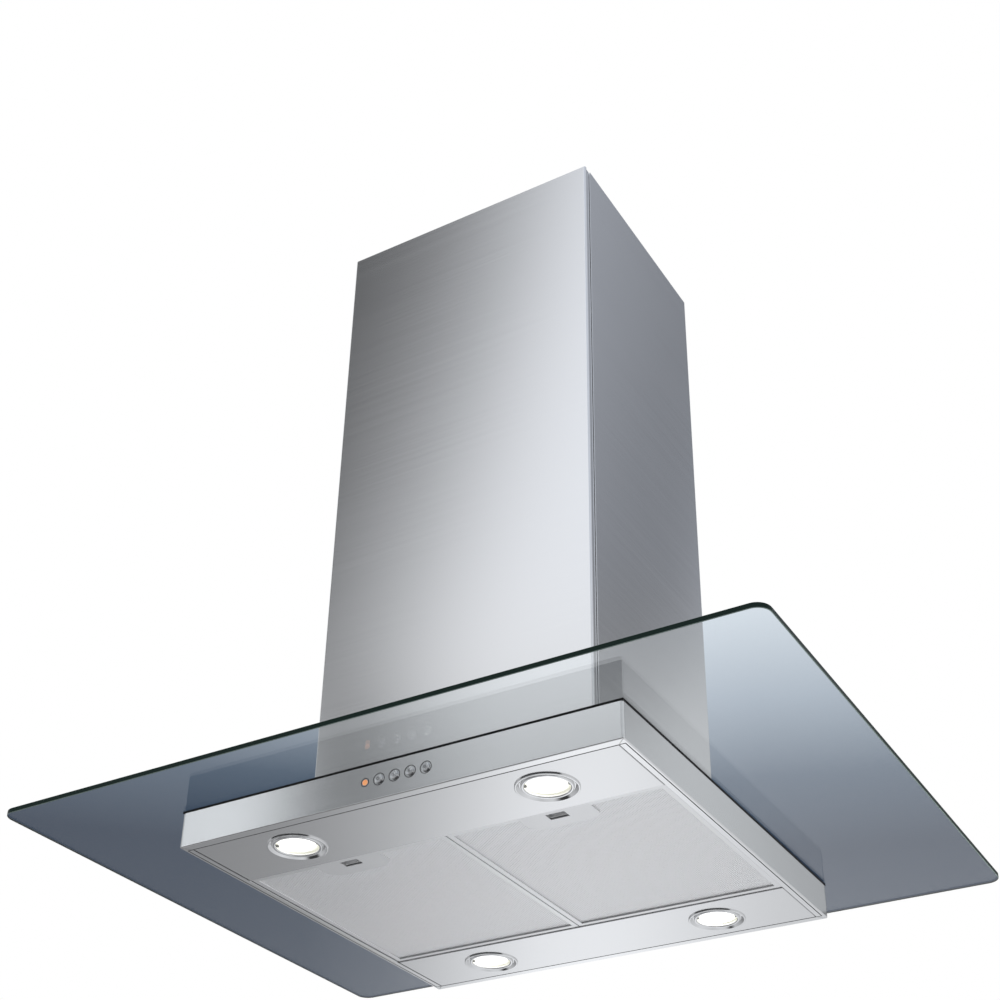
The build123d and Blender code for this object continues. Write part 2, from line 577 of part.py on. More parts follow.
def body_shell():
    """Folded body: four walls, a top flange, and a boxed return round the bottom."""
    shell = ring(BODY_WIDTH, BODY_DEPTH, SHEET, SHEET, Z_UNDERSIDE, Z_BODY_TOP, BODY_CORNER_RADIUS)
    shell += ring(BODY_WIDTH, BODY_DEPTH, TOP_FLANGE, TOP_FLANGE, Z_TOP_PLATE, Z_BODY_TOP, BODY_CORNER_RADIUS)
    shell += ring(BODY_WIDTH, BODY_DEPTH, RIM, RIM, Z_UNDERSIDE, Z_UNDERSIDE + SHEET, BODY_CORNER_RADIUS)
    lip_width, lip_depth = BODY_WIDTH - 2 * (RIM - SHEET), BODY_DEPTH - 2 * (RIM - SHEET)
    shell += ring(lip_width, lip_depth, SHEET, SHEET, Z_UNDERSIDE, LEDGE_TOP)
    ledge_width, ledge_depth = BODY_WIDTH - 2 * (RIM - RIM_LEDGE), BODY_DEPTH - 2 * (RIM - RIM_LEDGE)
    shell += ring(ledge_width, ledge_depth, RIM_LEDGE, RIM_LEDGE, LEDGE_TOP - SHEET, LEDGE_TOP)
    outside = slab(BODY_WIDTH, BODY_DEPTH, Z_UNDERSIDE, Z_BODY_TOP, BODY_CORNER_RADIUS)
    shell &= fillet(outside.edges().group_by(Axis.Z)[0], BODY_BEND_RADIUS)
    for sx, sy in CORNERS:
        shell -= mitre(sx, sy)
        shell -= corner_lines(sx, sy)
    for i in range(len(BUTTONS)):
        shell -= wall_hole(button_x(i), BUTTON_RADIUS + BUTTON_HOLE_GAP)
    shell -= wall_hole(INDICATOR_X, INDICATOR_RADIUS + BUTTON_HOLE_GAP / 2)
    for x, y in panel_screw_places():
        shell -= rod(x, y, LEDGE_TOP - SHEET, LEDGE_TOP, M3_RADIUS + THREAD_GAP)
    return shell


def mitre(sx, sy):
    """Open mitre where two sides of the bottom return meet."""
    length = math.sqrt(2) * (RIM - 2 * SHEET)
    cut = Box(length, MITRE_GAP, SHEET)
    x, y = sx * (BODY_WIDTH - RIM) / 2, sy * (BODY_DEPTH - RIM) / 2
    return Pos(x, y, Z_UNDERSIDE + SHEET / 2) * Rot(0, 0, 45 * sx * sy) * cut


def corner_lines(sx, sy):
    """The two shallow upright lines beside a corner, where the walls were closed and dressed."""
    x, y = sx * BODY_WIDTH / 2, sy * BODY_DEPTH / 2
    z0, z1 = Z_UNDERSIDE + BODY_BEND_RADIUS, Z_BODY_TOP
    x0, y0 = x - sx * BODY_CORNER_RADIUS, y - sy * BODY_CORNER_RADIUS
    on_side = block(x - sx * CORNER_LINE_DEPTH, x, y0, y0 - sy * MITRE_GAP, z0, z1)
    on_end = block(x0, x0 - sx * MITRE_GAP, y - sy * CORNER_LINE_DEPTH, y, z0, z1)
    return on_side + on_end


def wall_hole(x, radius):
    return rod_y(x, Z_CONTROLS, FRONT_FACE_Y - 1, FRONT_FACE_Y + SHEET, radius)


def button_x(i):
    return FIRST_BUTTON_X + i * BUTTON_PITCH


def body_top_plate():
    """Stiff plate spot-welded under the top flange; it carries the air box and the clamp bolts."""
    width, depth = BODY_WIDTH - 2 * (SHEET + SEAM_GAP), BODY_DEPTH - 2 * (SHEET + SEAM_GAP)
    plate = slab(width, depth, Z_TOP_PLATE_BOTTOM, Z_TOP_PLATE)
    gap = AIR_BOX_GAP / 4
    width, depth, radius = AIR_BOX_WIDTH + 2 * gap, AIR_BOX_DEPTH + 2 * gap, AIR_BOX_RADIUS + gap
    plate -= slab(width, depth, Z_TOP_PLATE_BOTTOM, Z_TOP_PLATE, radius)
    for sx, sy in CORNERS:
        plate -= rod(sx * CLAMP_X, sy * CLAMP_Y, Z_TOP_PLATE_BOTTOM, Z_TOP_PLATE, M6_RADIUS + HOLE_CLEARANCE)
    for x, y in air_box_screw_places():
        plate -= rod(x, y, Z_TOP_PLATE_BOTTOM, Z_TOP_PLATE, M4_RADIUS + THREAD_GAP)
    return plate


def panel_screw_places():
    """Two screws at each end of each lamp panel, on the body's ledge."""
    x = PANEL_WIDTH / 2 + SEAM_GAP + RIM_LEDGE / 2
    spread = PANEL_DEPTH / 4
    mid = (PANEL_FRONT_Y + PANEL_REAR_Y) / 2
    return [(sx * x, sy * (mid + d)) for sx in (-1, 1) for sy in (-1, 1) for d in (-spread, spread)]


def lamp_panel(end):
    """Tray with two lamp holes; tabs at its ends rest on the body's ledge."""
    half_x = PANEL_WIDTH / 2
    y0, y1 = PANEL_FRONT_Y, PANEL_REAR_Y
    top = Z_PANEL_FLANGE_TOP
    tray = block(-half_x, half_x, y0, y1, Z_UNDERSIDE, top)
    inside = block(-half_x + SHEET, half_x - SHEET, y0 + SHEET, y1 - SHEET, Z_UNDERSIDE + SHEET, top)
    panel = fillet(tray.edges().group_by(Axis.Z)[0], SHEET * 0.9) - inside
    tab_end = half_x + SEAM_GAP + RIM_LEDGE
    margin = PANEL_DEPTH / 8
    for side in SIDES.values():
        x0 = side * (half_x - SHEET)
        panel += block(x0, side * tab_end, y0 + margin, y1 - margin, LEDGE_TOP, LEDGE_TOP + SHEET)
        panel += block(x0, side * half_x, y0, y1, top - SHEET, LEDGE_TOP + SHEET)
    panel -= block(-half_x, half_x, y1 - 2 * SHEET, y1, Z_UNDERSIDE + KEEPER_HEIGHT, top)
    for side in SIDES.values():
        panel -= rod(side * LAMP_PITCH_X / 2, -LAMP_Y, Z_UNDERSIDE, top, lamp_hole_radius())
    for x, y in panel_screw_places():
        panel -= rod(x, y, LEDGE_TOP, LEDGE_TOP + SHEET, M3_RADIUS + HOLE_CLEARANCE)
    if end > 0:
        panel = Rot(0, 0, 180) * panel
    return panel


def lamp_hole_radius():
    return BEZEL_COLLAR_RADIUS + HOLE_CLEARANCE


def lamp_panel_screws():
    """Self-cutting screws that hold the lamp panels' tabs to the ledge."""
    head = LEDGE_TOP + SHEET
    end = LEDGE_TOP - SHEET - 2 * M3_RADIUS
    return [pan_screw(x, y, head, end, M3_RADIUS) for x, y in panel_screw_places()]


def lamp_places():
    places = {}
    for end, sy in ENDS.items():
        for side, sx in SIDES.items():
            places[f"{end}_{side}"] = (sx * LAMP_PITCH_X / 2, sy * LAMP_Y)
    return places


def lamp_floor():
    """Depth of the dish in the bezel's face."""
    return Z_UNDERSIDE + BEZEL_FACE


def lamp_seat():
    """Upper face of the bezel's inner ring, which carries the lens."""
    return lamp_floor() + BEZEL_FACE


def lamp_bezel(x, y):
    """Turned trim ring: a dished face, an inner ring that carries the lens, and a collar."""
    face = Z_UNDERSIDE - BEZEL_FACE
    floor, seat = lamp_floor(), lamp_seat()
    collar_top = seat + 3 * LENS_THICKNESS
    flange = rod(x, y, face, Z_UNDERSIDE, BEZEL_RADIUS)
    flange = fillet(flange.edges().group_by(Axis.Z)[0], BEZEL_FACE / 2)
    bezel = flange + rod(x, y, Z_UNDERSIDE, collar_top, BEZEL_COLLAR_RADIUS)
    groove_radius = BEZEL_RING_RADIUS + BEZEL_GROOVE
    dish = Cone(BEZEL_RADIUS - BEZEL_LAND, groove_radius, floor - face)
    bezel -= Pos(x, y, (face + floor) / 2) * dish
    ring_face = face + BEZEL_FACE / 2
    mouth = rod(x, y, face, seat, BEZEL_RING_RADIUS - BEZEL_RING_WIDTH)
    inner_ring = rod(x, y, ring_face, seat, BEZEL_RING_RADIUS) - mouth
    bezel -= mouth
    bezel += fillet(inner_ring.edges().group_by(Axis.Z)[0], BEZEL_RING_WIDTH / 3)
    return bezel - rod(x, y, seat, collar_top, LENS_RADIUS + HOLE_CLEARANCE)


def lamp_lens(x, y):
    """Glass disc resting on the bezel's inner ring."""
    seat = lamp_seat()
    disc = rod(x, y, seat, seat + LENS_THICKNESS, LENS_RADIUS)
    return fillet(disc.edges(), LENS_THICKNESS / 8)


def lamp_bulbs():
    """Reflector bulbs above the lenses, each with its socket."""
    bulbs = []
    z0 = lamp_seat() + LENS_THICKNESS + SLIP_GAP
    for x, y in lamp_places().values():
        reflector = Pos(x, y, z0 + 8) * Cone(BULB_RADIUS, BULB_RADIUS / 2, 16)
        socket = rod(x, y, z0 + 16, z0 + 28, BULB_RADIUS / 2.5)
        bulbs.append(reflector + socket)
    return bulbs


# ---- controls ------------------------------------------------------------------------------------
def control_span():
    """Left and right ends of the control housing."""
    return INDICATOR_X - BUTTON_PITCH * 0.8, button_x(len(BUTTONS) - 1) + BUTTON_PITCH * 0.8


def guide_y():
    """Front face of the plate that guides the button stems."""
    return FRONT_FACE_Y + SHEET + SLIP_GAP + 2 * BUTTON_TRAVEL + 4


def board_y():
    """Front face of the circuit board."""
    return guide_y() + 10


def housing_half():
    """Half the height of the control housing, which stops short of the lamp panel's flange."""
    return Z_CONTROLS - Z_PANEL_FLANGE_TOP - SLIP_GAP


def control_housing():
    """Moulded housing behind the front wall; its rear wall guides the button stems."""
    x0, x1 = control_span()
    y0 = FRONT_FACE_Y + SHEET
    half = housing_half()
    back = board_y() + 4
    shell = block(x0, x1, y0, back, Z_CONTROLS - half, Z_CONTROLS + half)
    pocket = block(x0 + 2, x1 - 2, y0, guide_y(), Z_CONTROLS - half + 2, Z_CONTROLS + half - 2)
    rear = block(x0 + 2, x1 - 2, guide_y() + 2, back, Z_CONTROLS - half + 2, Z_CONTROLS + half - 2)
    housing = shell - pocket - rear
    for i in range(len(BUTTONS)):
        housing -= rod_y(button_x(i), Z_CONTROLS, guide_y(), guide_y() + 2, BUTTON_RADIUS / 2 + BUTTON_HOLE_GAP)
    housing -= rod_y(INDICATOR_X, Z_CONTROLS, guide_y(), guide_y() + 2, INDICATOR_RADIUS - 1 + BUTTON_HOLE_GAP)
    return housing


def stem_end():
    """Rear end of a button's stem when it isn't pressed."""
    return guide_y() + 5


def button(i):
    """Round cap, retaining collar behind the wall, and stem."""
    x = button_x(i)
    face = FRONT_FACE_Y - BUTTON_PROUD
    collar = FRONT_FACE_Y + SHEET + SLIP_GAP
    cap = rod_y(x, Z_CONTROLS, face, collar, BUTTON_RADIUS)
    cap = fillet(cap.edges().group_by(Axis.Y)[0], BUTTON_PROUD / 3)
    cap += rod_y(x, Z_CONTROLS, collar, collar + 2, BUTTON_RADIUS + 1.2)
    return cap + rod_y(x, Z_CONTROLS, collar + 2, stem_end(), BUTTON_RADIUS / 2)


def control_board():
    """Circuit board with a push switch behind each button and the indicator's lamp."""
    x0, x1 = control_span()
    half = housing_half() - 2 - LAP_GAP
    board = block(x0 + 2.5, x1 - 2.5, board_y(), board_y() + 1.6, Z_CONTROLS - half, Z_CONTROLS + half)
    switch_front = stem_end() + BUTTON_TRAVEL + BUTTON_HOLE_GAP
    for i in range(len(BUTTONS)):
        x = button_x(i)
        board += block(x - 3, x + 3, switch_front + 1, board_y(), Z_CONTROLS - 3, Z_CONTROLS + 3)
        board += rod_y(x, Z_CONTROLS, switch_front, switch_front + 1, BUTTON_RADIUS / 3)
    return board + rod_y(INDICATOR_X, Z_CONTROLS, guide_y() + 4, board_y(), INDICATOR_RADIUS - 1)


def indicator_lens():
    """Small translucent lens with a collar behind the wall and a light guide."""
    face = FRONT_FACE_Y - BUTTON_PROUD / 3
    wall = FRONT_FACE_Y + SHEET
    lens = rod_y(INDICATOR_X, Z_CONTROLS, face, wall, INDICATOR_RADIUS)
    lens = fillet(lens.edges().group_by(Axis.Y)[0], BUTTON_PROUD / 5)
    lens += rod_y(INDICATOR_X, Z_CONTROLS, wall, wall + 1.5, INDICATOR_RADIUS + 1)
    return lens + rod_y(INDICATOR_X, Z_CONTROLS, wall + 1.5, guide_y() + 3, INDICATOR_RADIUS - 1)


# ---- air box and blower --------------------------------------------------------------------------
def air_box():
    """Sheet box, open below, that hangs the blower over the body's opening."""
    w, d = AIR_BOX_WIDTH, AIR_BOX_DEPTH
    z0, z1 = Z_TOP_PLATE_BOTTOM - BOX_SHEET, Z_AIR_BOX_TOP
    box = slab(w, d, z0, z1, AIR_BOX_RADIUS)
    box -= slab(w - 2 * BOX_SHEET, d - 2 * BOX_SHEET, z0, z1 - BOX_SHEET, AIR_BOX_RADIUS - BOX_SHEET)
    flange = ring(w + 2 * AIR_BOX_FLANGE, d + 2 * AIR_BOX_FLANGE, AIR_BOX_FLANGE, AIR_BOX_FLANGE, z0, z0 + BOX_SHEET)
    for sx, sy in CORNERS:
        flange -= rod(sx * CLAMP_X, sy * CLAMP_Y, z0, z0 + BOX_SHEET, 3 * M6_RADIUS)
    box += flange
    for x, y in air_box_screw_places():
        box -= rod(x, y, z0, z0 + BOX_SHEET, M4_RADIUS + HOLE_CLEARANCE)
    for x, y in scroll_screw_places():
        box -= rod(x, y, z1 - BOX_SHEET, z1, M4_RADIUS + HOLE_CLEARANCE)
    half = SCROLL_WIDTH / 2 - SCROLL_WALL
    y0, y1 = scroll_outlet()
    return box - block(-half, half, y0, y1, z1 - BOX_SHEET, z1)


def air_box_screw_places():
    x = AIR_BOX_WIDTH / 2 + AIR_BOX_FLANGE / 2
    y = AIR_BOX_DEPTH / 2 + AIR_BOX_FLANGE / 2
    places = [(sx * x, sy * AIR_BOX_DEPTH / 4) for sx in (-1, 1) for sy in (-1, 1)]
    return places + [(sx * AIR_BOX_WIDTH / 4, sy * y) for sx in (-1, 1) for sy in (-1, 1)]


def air_box_screws():
    """Screws up into the body top plate, and down through the box's top into the scroll's lugs."""
    z0 = Z_TOP_PLATE_BOTTOM - BOX_SHEET
    screws = [pan_screw(x, y, z0, Z_TOP_PLATE, M4_RADIUS) for x, y in air_box_screw_places()]
    lug_bottom = Z_AIR_BOX_TOP - BOX_SHEET - LUG_THICKNESS
    return screws + [pan_screw(x, y, Z_AIR_BOX_TOP, lug_bottom, M4_RADIUS) for x, y in scroll_screw_places()]


def scroll_quarters(offset):
    """Centre, radius and start angle of the scroll's three quarter arcs, grown by offset.

    Their centres are corners of a small square about the shaft, so each arc runs into the next.
    """
    a = SCROLL_GROWTH / 2
    first = IMPELLER_RADIUS + SCROLL_GAP + offset
    centres = [(-a, Z_SHAFT - a), (a, Z_SHAFT - a), (a, Z_SHAFT + a)]
    return [(centres[k], first + k * SCROLL_GROWTH, 180 + 90 * (k - 1)) for k in range(3)]


def scroll_outlet():
    """Front and rear faces of the air space where it runs up into the outlet."""
    (centre_y, _), radius, _ = scroll_quarters(0)[2]
    return IMPELLER_RADIUS / 4, centre_y + radius


def scroll_space(offset, x0, x1, z_top):
    """The scroll's air space grown by offset, from x0 to x1: up the front, under, and up the rear."""
    tongue_y, rear_y = scroll_outlet()
    tongue_y -= offset
    rear_y += offset
    edges = []
    for k, ((cy, cz), radius, start) in enumerate(scroll_quarters(offset)):
        first = math.radians(start)
        if k == 0:
            first = math.acos((tongue_y - cy) / radius)
        last = math.radians(start + 90)
        angles = (first, (first + last) / 2, last)
        points = [(x0, cy + radius * math.cos(t), cz + radius * math.sin(t)) for t in angles]
        if k == 0:
            tongue = points[0]
        edges.append(ThreePointArc(*points))
        end = points[-1]
    edges.append(Line(end, (x0, rear_y, z_top)))
    edges.append(Line((x0, rear_y, z_top), (x0, tongue_y, z_top)))
    edges.append(Line((x0, tongue_y, z_top), tongue))
    return extrude(Face(Wire(edges)), x1 - x0, dir=(1, 0, 0))


def scroll_half(side):
    """Moulded half of the blower scroll: a side wall with its inlet, and half the rim."""
    half = side * SCROLL_WIDTH / 2
    top = Z_AIR_BOX_TOP - BOX_SHEET
    x0, x1 = min(0, half), max(0, half)
    inner = half - side * SCROLL_WALL
    shell = scroll_space(SCROLL_WALL, x0, x1, top)
    shell -= scroll_space(0, min(0, inner), max(0, inner), top)
    shell += tube_x(0, Z_SHAFT, inner, half + side * 3, SCROLL_INLET_RADIUS + SCROLL_WALL, SCROLL_INLET_RADIUS)
    shell -= rod_x(0, Z_SHAFT, inner, half, SCROLL_INLET_RADIUS)
    y0, y1 = scroll_outlet()
    lug = block(half, half + side * 4 * M4_RADIUS, y0, y1, top - LUG_THICKNESS, top)
    for x, y in scroll_screw_places():
        lug -= rod(x, y, top - LUG_THICKNESS, top, M4_RADIUS + THREAD_GAP)
    return shell + lug


def scroll_screw_places():
    y0, y1 = scroll_outlet()
    margin = (y1 - y0) / 5
    x = SCROLL_WIDTH / 2 + 2 * M4_RADIUS
    return [(side * x, y) for side in SIDES.values() for y in (y0 + margin, y1 - margin)]


def motor_ends():
    """Left and right ends of the motor, which reaches into the impeller from the left."""
    right = -IMPELLER_LENGTH / 5
    return right - MOTOR_LENGTH, right


def motor():
    """Round motor can with a boss for its bearing at each end."""
    left, right = motor_ends()
    can = rod_x(0, Z_SHAFT, left, right, MOTOR_RADIUS)
    can = fillet(can.edges(), MOTOR_RADIUS / 10)
    can += rod_x(0, Z_SHAFT, left - 3, right + 3, 3 * SHAFT_RADIUS)
    return can - rod_x(0, Z_SHAFT, left - 3, right + 3, SHAFT_RADIUS + RUNNING_CLEARANCE)


def motor_shaft():
    """Steel shaft from behind the motor to the impeller's hub."""
    left, _ = motor_ends()
    shaft = rod_x(0, Z_SHAFT, left - 6, 3 * SHAFT_RADIUS, SHAFT_RADIUS)
    return chamfer(shaft.edges(), SHAFT_RADIUS / 8)


def bracket_x():
    """Left and right faces of the motor bracket."""
    right = -SCROLL_WIDTH / 2 - BUSH_LENGTH
    return right - FRAME_SHEET, right


def bracket_feet():
    """Height and depth of the bracket's three feet, on a circle round the inlet."""
    radius = SCROLL_INLET_RADIUS + FOOT / 2
    angles = [math.radians(90 + 120 * k) for k in range(3)]
    return [(radius * math.cos(t), Z_SHAFT + radius * math.sin(t)) for t in angles]


def motor_bracket():
    """Three-armed bracket that clasps the motor and stands off the scroll's left side."""
    x0, x1 = bracket_x()
    bracket = tube_x(0, Z_SHAFT, x0, x1, MOTOR_RADIUS + 8, MOTOR_RADIUS + THREAD_GAP)
    radius = SCROLL_INLET_RADIUS + FOOT / 2
    for k in range(3):
        arm = block(x0, x1, -7, 7, MOTOR_RADIUS + 4, radius)
        bracket += Pos(0, 0, Z_SHAFT) * Rot(120 * k, 0, 0) * arm
    for y, z in bracket_feet():
        bracket += rod_x(y, z, x0, x1, 9)
        bracket -= rod_x(y, z, x0, x1, M4_RADIUS + HOLE_CLEARANCE)
    return bracket


def motor_bushes():
    """Rubber bushes between the bracket's feet and the scroll."""
    right = -SCROLL_WIDTH / 2
    return [tube_x(y, z, right - BUSH_LENGTH, right, 7, M4_RADIUS + HOLE_CLEARANCE) for y, z in bracket_feet()]


def impeller():
    """Double-inlet wheel: a middle disc and hub, two end rings, and forward-curved blades."""
    half = IMPELLER_LENGTH / 2
    wheel = rod_x(0, Z_SHAFT, -1, 1, IMPELLER_RADIUS)
    wheel += rod_x(0, Z_SHAFT, -2 * SHAFT_RADIUS, 2 * SHAFT_RADIUS, 2.5 * SHAFT_RADIUS)
    for side in SIDES.values():
        wheel += tube_x(0, Z_SHAFT, side * half, side * (half - 3), IMPELLER_RADIUS, IMPELLER_EYE_RADIUS)
    depth = IMPELLER_RADIUS - IMPELLER_EYE_RADIUS
    blade = Rot(35, 0, 0) * Box(IMPELLER_LENGTH - 2, 1.2, depth)
    reach = IMPELLER_RADIUS - depth / 2
    for i in range(BLADES):
        wheel += Pos(0, 0, Z_SHAFT) * Rot(360 * i / BLADES, 0, 0) * Pos(0, 0, reach) * blade
    return wheel - rod_x(0, Z_SHAFT, -half, half, SHAFT_RADIUS + THREAD_GAP / 2)


def outlet_adapter():
    """Moulded hood over the blower's outlet with the round spigot for the duct."""
    z0, z1 = Z_AIR_BOX_TOP, Z_ADAPTER_TOP
    w, d, t = ADAPTER_WIDTH, ADAPTER_DEPTH, SPIGOT_WALL
    body = slab(w, d, z0, z1, 6) - slab(w - 2 * t, d - 2 * t, z0, z1 - t, 6 - t)
    body += ring(w + 12, d + 12, 6 + t, 6 + t, z0, z0 + t, 10)
    inner = SPIGOT_RADIUS - SPIGOT_WALL
    body += rod(0, 0, z1 - t, Z_SPIGOT_TOP, SPIGOT_RADIUS)
    body -= rod(0, 0, z1 - t, Z_SPIGOT_TOP, inner)
    z = flap_z()
    ledge_top = z - FLAP_THICKNESS / 2 - SLIP_GAP
    ledge = rod(0, 0, ledge_top - 2, ledge_top, inner) - rod(0, 0, ledge_top - 2, ledge_top, inner - 4)
    clear = 2 * FLAP_HINGE_OFFSET
    body += ledge - block(-inner, inner, -clear, clear, ledge_top - 2, ledge_top)
    body += block(-inner, inner, -1.2, 1.2, z - 3, z + 3)
    for end in ENDS.values():
        reach = SPIGOT_RADIUS
        body -= rod_x(end * FLAP_HINGE_OFFSET, z, -reach, reach, FLAP_PIN_RADIUS + RUNNING_CLEARANCE)
    return body


def flap_z():
    """Height of the backdraft flaps' pins."""
    return Z_ADAPTER_TOP + SPIGOT_LENGTH / 5


def damper_flap(end):
    """Half-round backdraft flap with its pin."""
    z = flap_z()
    radius = SPIGOT_RADIUS - SPIGOT_WALL - FLAP_GAP
    disc = rod(0, 0, z - FLAP_THICKNESS / 2, z + FLAP_THICKNESS / 2, radius)
    y0 = end * FLAP_HINGE_OFFSET
    flap = disc & block(-radius, radius, y0, end * radius, z - FLAP_THICKNESS, z + FLAP_THICKNESS)
    pin_end = math.sqrt(SPIGOT_RADIUS**2 - (FLAP_HINGE_OFFSET + FLAP_PIN_RADIUS) ** 2) - SLIP_GAP
    return flap + rod_x(y0, z, -pin_end, pin_end, FLAP_PIN_RADIUS)


def terminal_box():
    """Mains terminal box on the front of the air box."""
    y1 = -AIR_BOX_DEPTH / 2
    y0 = y1 - TERMINAL_BOX_DEPTH
    z1 = Z_AIR_BOX_TOP - 2 * TERMINAL_BOX_DEPTH
    box = block(-40, 40, y0, y1, z1 - 60, z1)
    box = fillet(box.edges().filter_by(Axis.Y), 4)
    box -= block(-38, 38, y0 + 2, y1 - 2, z1 - 58, z1 - 2)
    return box - rod(0, (y0 + y1) / 2, z1 - 2, z1, GLAND_BORE + 2)


def gland_y():
    return -(AIR_BOX_DEPTH + TERMINAL_BOX_DEPTH) / 2


def cable_gland():
    """Screwed gland on top of the terminal box, ready for the mains cable."""
    y = gland_y()
    z = Z_AIR_BOX_TOP - 2 * TERMINAL_BOX_DEPTH
    gland = hexagon(0, y, z, z + 6, 2.2 * GLAND_BORE)
    gland += rod(0, y, z - 4, z, GLAND_BORE + 1.9)
    gland += rod(0, y, z + 6, z + 16, 1.7 * GLAND_BORE)
    return gland - rod(0, y, z - 4, z + 16, GLAND_BORE)


# ---- grease filters ------------------------------------------------------------------------------
def latch_outline(x, z0, z1):
    """Plan of the latch housing as a solid: a plate with its two inner corners cut off."""
    half = LATCH_WIDTH / 2
    y0, y1 = FILTER_FRONT_Y + FILTER_WALL, FILTER_FRONT_Y + LATCH_DEPTH
    c = LATCH_CHAMFER
    points = [(x - half, y0), (x + half, y0), (x + half, y1 - c), (x + half - c, y1), (x - half + c, y1), (x - half, y1 - c)]
    return Pos(0, 0, z0) * extrude(make_face(Polyline(*points, close=True)), z1 - z0)


def mesh_heights():
    return Z_FILTER + MESH_RECESS, Z_FILTER + MESH_RECESS + MESH_THICKNESS


def tongue_heights():
    """Heights of the latch tongue and the rear hooks, which both pass over a panel's low flange."""
    z0 = Z_UNDERSIDE + KEEPER_HEIGHT + SLIP_GAP
    return z0, z0 + TONGUE_THICKNESS


def filter_frame(side):
    """Rolled aluminium channel round the filter, with two hooks at its rear edge."""
    x = side * FILTER_X
    w, d = FILTER_WIDTH, FILTER_LENGTH
    frame = ring(w, d, FILTER_BORDER, FILTER_BORDER, Z_FILTER, Z_FILTER_TOP)
    frame = fillet(frame.edges().group_by(Axis.Z)[0], FILTER_WALL / 2)
    z0, z1 = mesh_heights()
    frame -= slab(w - 2 * FILTER_WALL, d - 2 * FILTER_WALL, z0, z1)
    frame = Pos(x, 0, 0) * frame
    frame -= latch_outline(x, Z_FILTER, Z_FILTER_TOP)
    t0, t1 = tongue_heights()
    slot = TONGUE_WIDTH / 2 + SLIP_GAP
    y0 = FILTER_FRONT_Y
    frame -= block(x - slot, x + slot, y0, y0 + FILTER_WALL, t0 - SLIP_GAP, t1 + SLIP_GAP)
    rear = -FILTER_FRONT_Y
    for place in (-1, 1):
        hook_x = x + place * w / 4
        frame += block(hook_x - HOOK_WIDTH / 2, hook_x + HOOK_WIDTH / 2, rear - FILTER_WALL, rear + HOOK_REACH, t0, t1)
    return frame


def filter_mesh(side):
    """Pad of expanded aluminium layers held in the frame's groove."""
    x = side * FILTER_X
    z0, z1 = mesh_heights()
    pad = Pos(x, 0, 0) * slab(FILTER_WIDTH - 2 * FILTER_WALL, FILTER_LENGTH - 2 * FILTER_WALL, z0, z1)
    return pad - latch_outline(x, Z_FILTER, Z_FILTER_TOP)


def grip_y():
    """Front and rear edges of the finger recess."""
    return FILTER_FRONT_Y + GRIP_FRONT, FILTER_FRONT_Y + GRIP_FRONT + GRIP_DEPTH


def latch_housing(side):
    """Moulded plate with the finger recess, and a pocket in which the latch slides."""
    x = side * FILTER_X
    housing = latch_outline(x, Z_FILTER, Z_FILTER_TOP)
    t0, t1 = tongue_heights()
    y0, y1 = grip_y()
    slide_end = y1 + LATCH_TRAVEL + SLIP_GAP
    half = TONGUE_WIDTH / 2 + 4 + SLIP_GAP
    front = FILTER_FRONT_Y + FILTER_WALL
    housing -= block(x - half, x + half, front, slide_end, t0 - SLIP_GAP, t1 + SLIP_GAP)
    grip = GRIP_WIDTH / 2
    housing -= block(x - grip, x + grip, y0, y1, Z_FILTER, t0)
    return housing - block(x - grip, x + grip, y0, slide_end, Z_FILTER + GRIP_SKIN, t0)


def filter_latch(side):
    """Sliding latch: a tongue in front, and a bar in the finger recess that pulls it back."""
    x = side * FILTER_X
    t0, t1 = tongue_heights()
    _, y1 = grip_y()
    tip = PANEL_REAR_Y + LATCH_REST_GAP
    half = TONGUE_WIDTH / 2
    shoulder = FILTER_FRONT_Y + FILTER_WALL + SLIP_GAP
    latch = block(x - half, x + half, tip, y1, t0, t1)
    latch += block(x - half - 4, x + half + 4, shoulder, y1, t0, t1)
    grip = GRIP_WIDTH / 2 - SLIP_GAP
    bar = block(x - grip, x + grip, y1 - GRIP_BAR, y1, Z_FILTER + GRIP_SKIN + SLIP_GAP, t0)
    rim = bar.edges().filter_by(Axis.X).group_by(Axis.Z)[0]
    return latch + fillet(rim, GRIP_BAR / 4)


def write_ceiling_side():
    save(ceiling_plate(), "ceiling_plate")
    save([upper_upright(sx, sy) for sx, sy in CORNERS], "upper_uprights")
    save(frame_bolts(), "frame_bolts")
    save(upper_cover_front(), "upper_cover_front")
    save(upper_cover_rear(), "upper_cover_rear")
    save(upper_cover_screws(), "upper_cover_screws")


def write_chimney():
    save([lower_upright(sx, sy) for sx, sy in CORNERS], "lower_uprights")
    save(height_bolts(), "height_bolts")
    save(frame_base(), "frame_base")
    save(cover_clips(), "cover_clips")
    save(clamp_bolts(), "clamp_bolts")
    save(lower_cover_front(), "lower_cover_front")
    save(lower_cover_rear(), "lower_cover_rear")
    save(chimney_gasket(), "chimney_gasket")
    save(glass_canopy(), "glass_canopy")
    save(glass_bushes(), "glass_bushes")


def write_body():
    save(canopy_gasket(), "canopy_gasket")
    save(body_shell(), "body_shell")
    save(body_top_plate(), "body_top_plate")
    for name, end in ENDS.items():
        save(lamp_panel(end), f"lamp_panel_{name}")
    save(lamp_panel_screws(), "lamp_panel_screws")
    for name, (x, y) in lamp_places().items():
        save(lamp_bezel(x, y), f"lamp_bezel_{name}")
        save(lamp_lens(x, y), f"lamp_lens_{name}")
    save(lamp_bulbs(), "lamp_bulbs")
    save(control_housing(), "control_housing")
    save(control_board(), "control_board")
    save(indicator_lens(), "indicator_lens")
    for i, name in enumerate(BUTTONS):
        save(button(i), f"button_{name}")


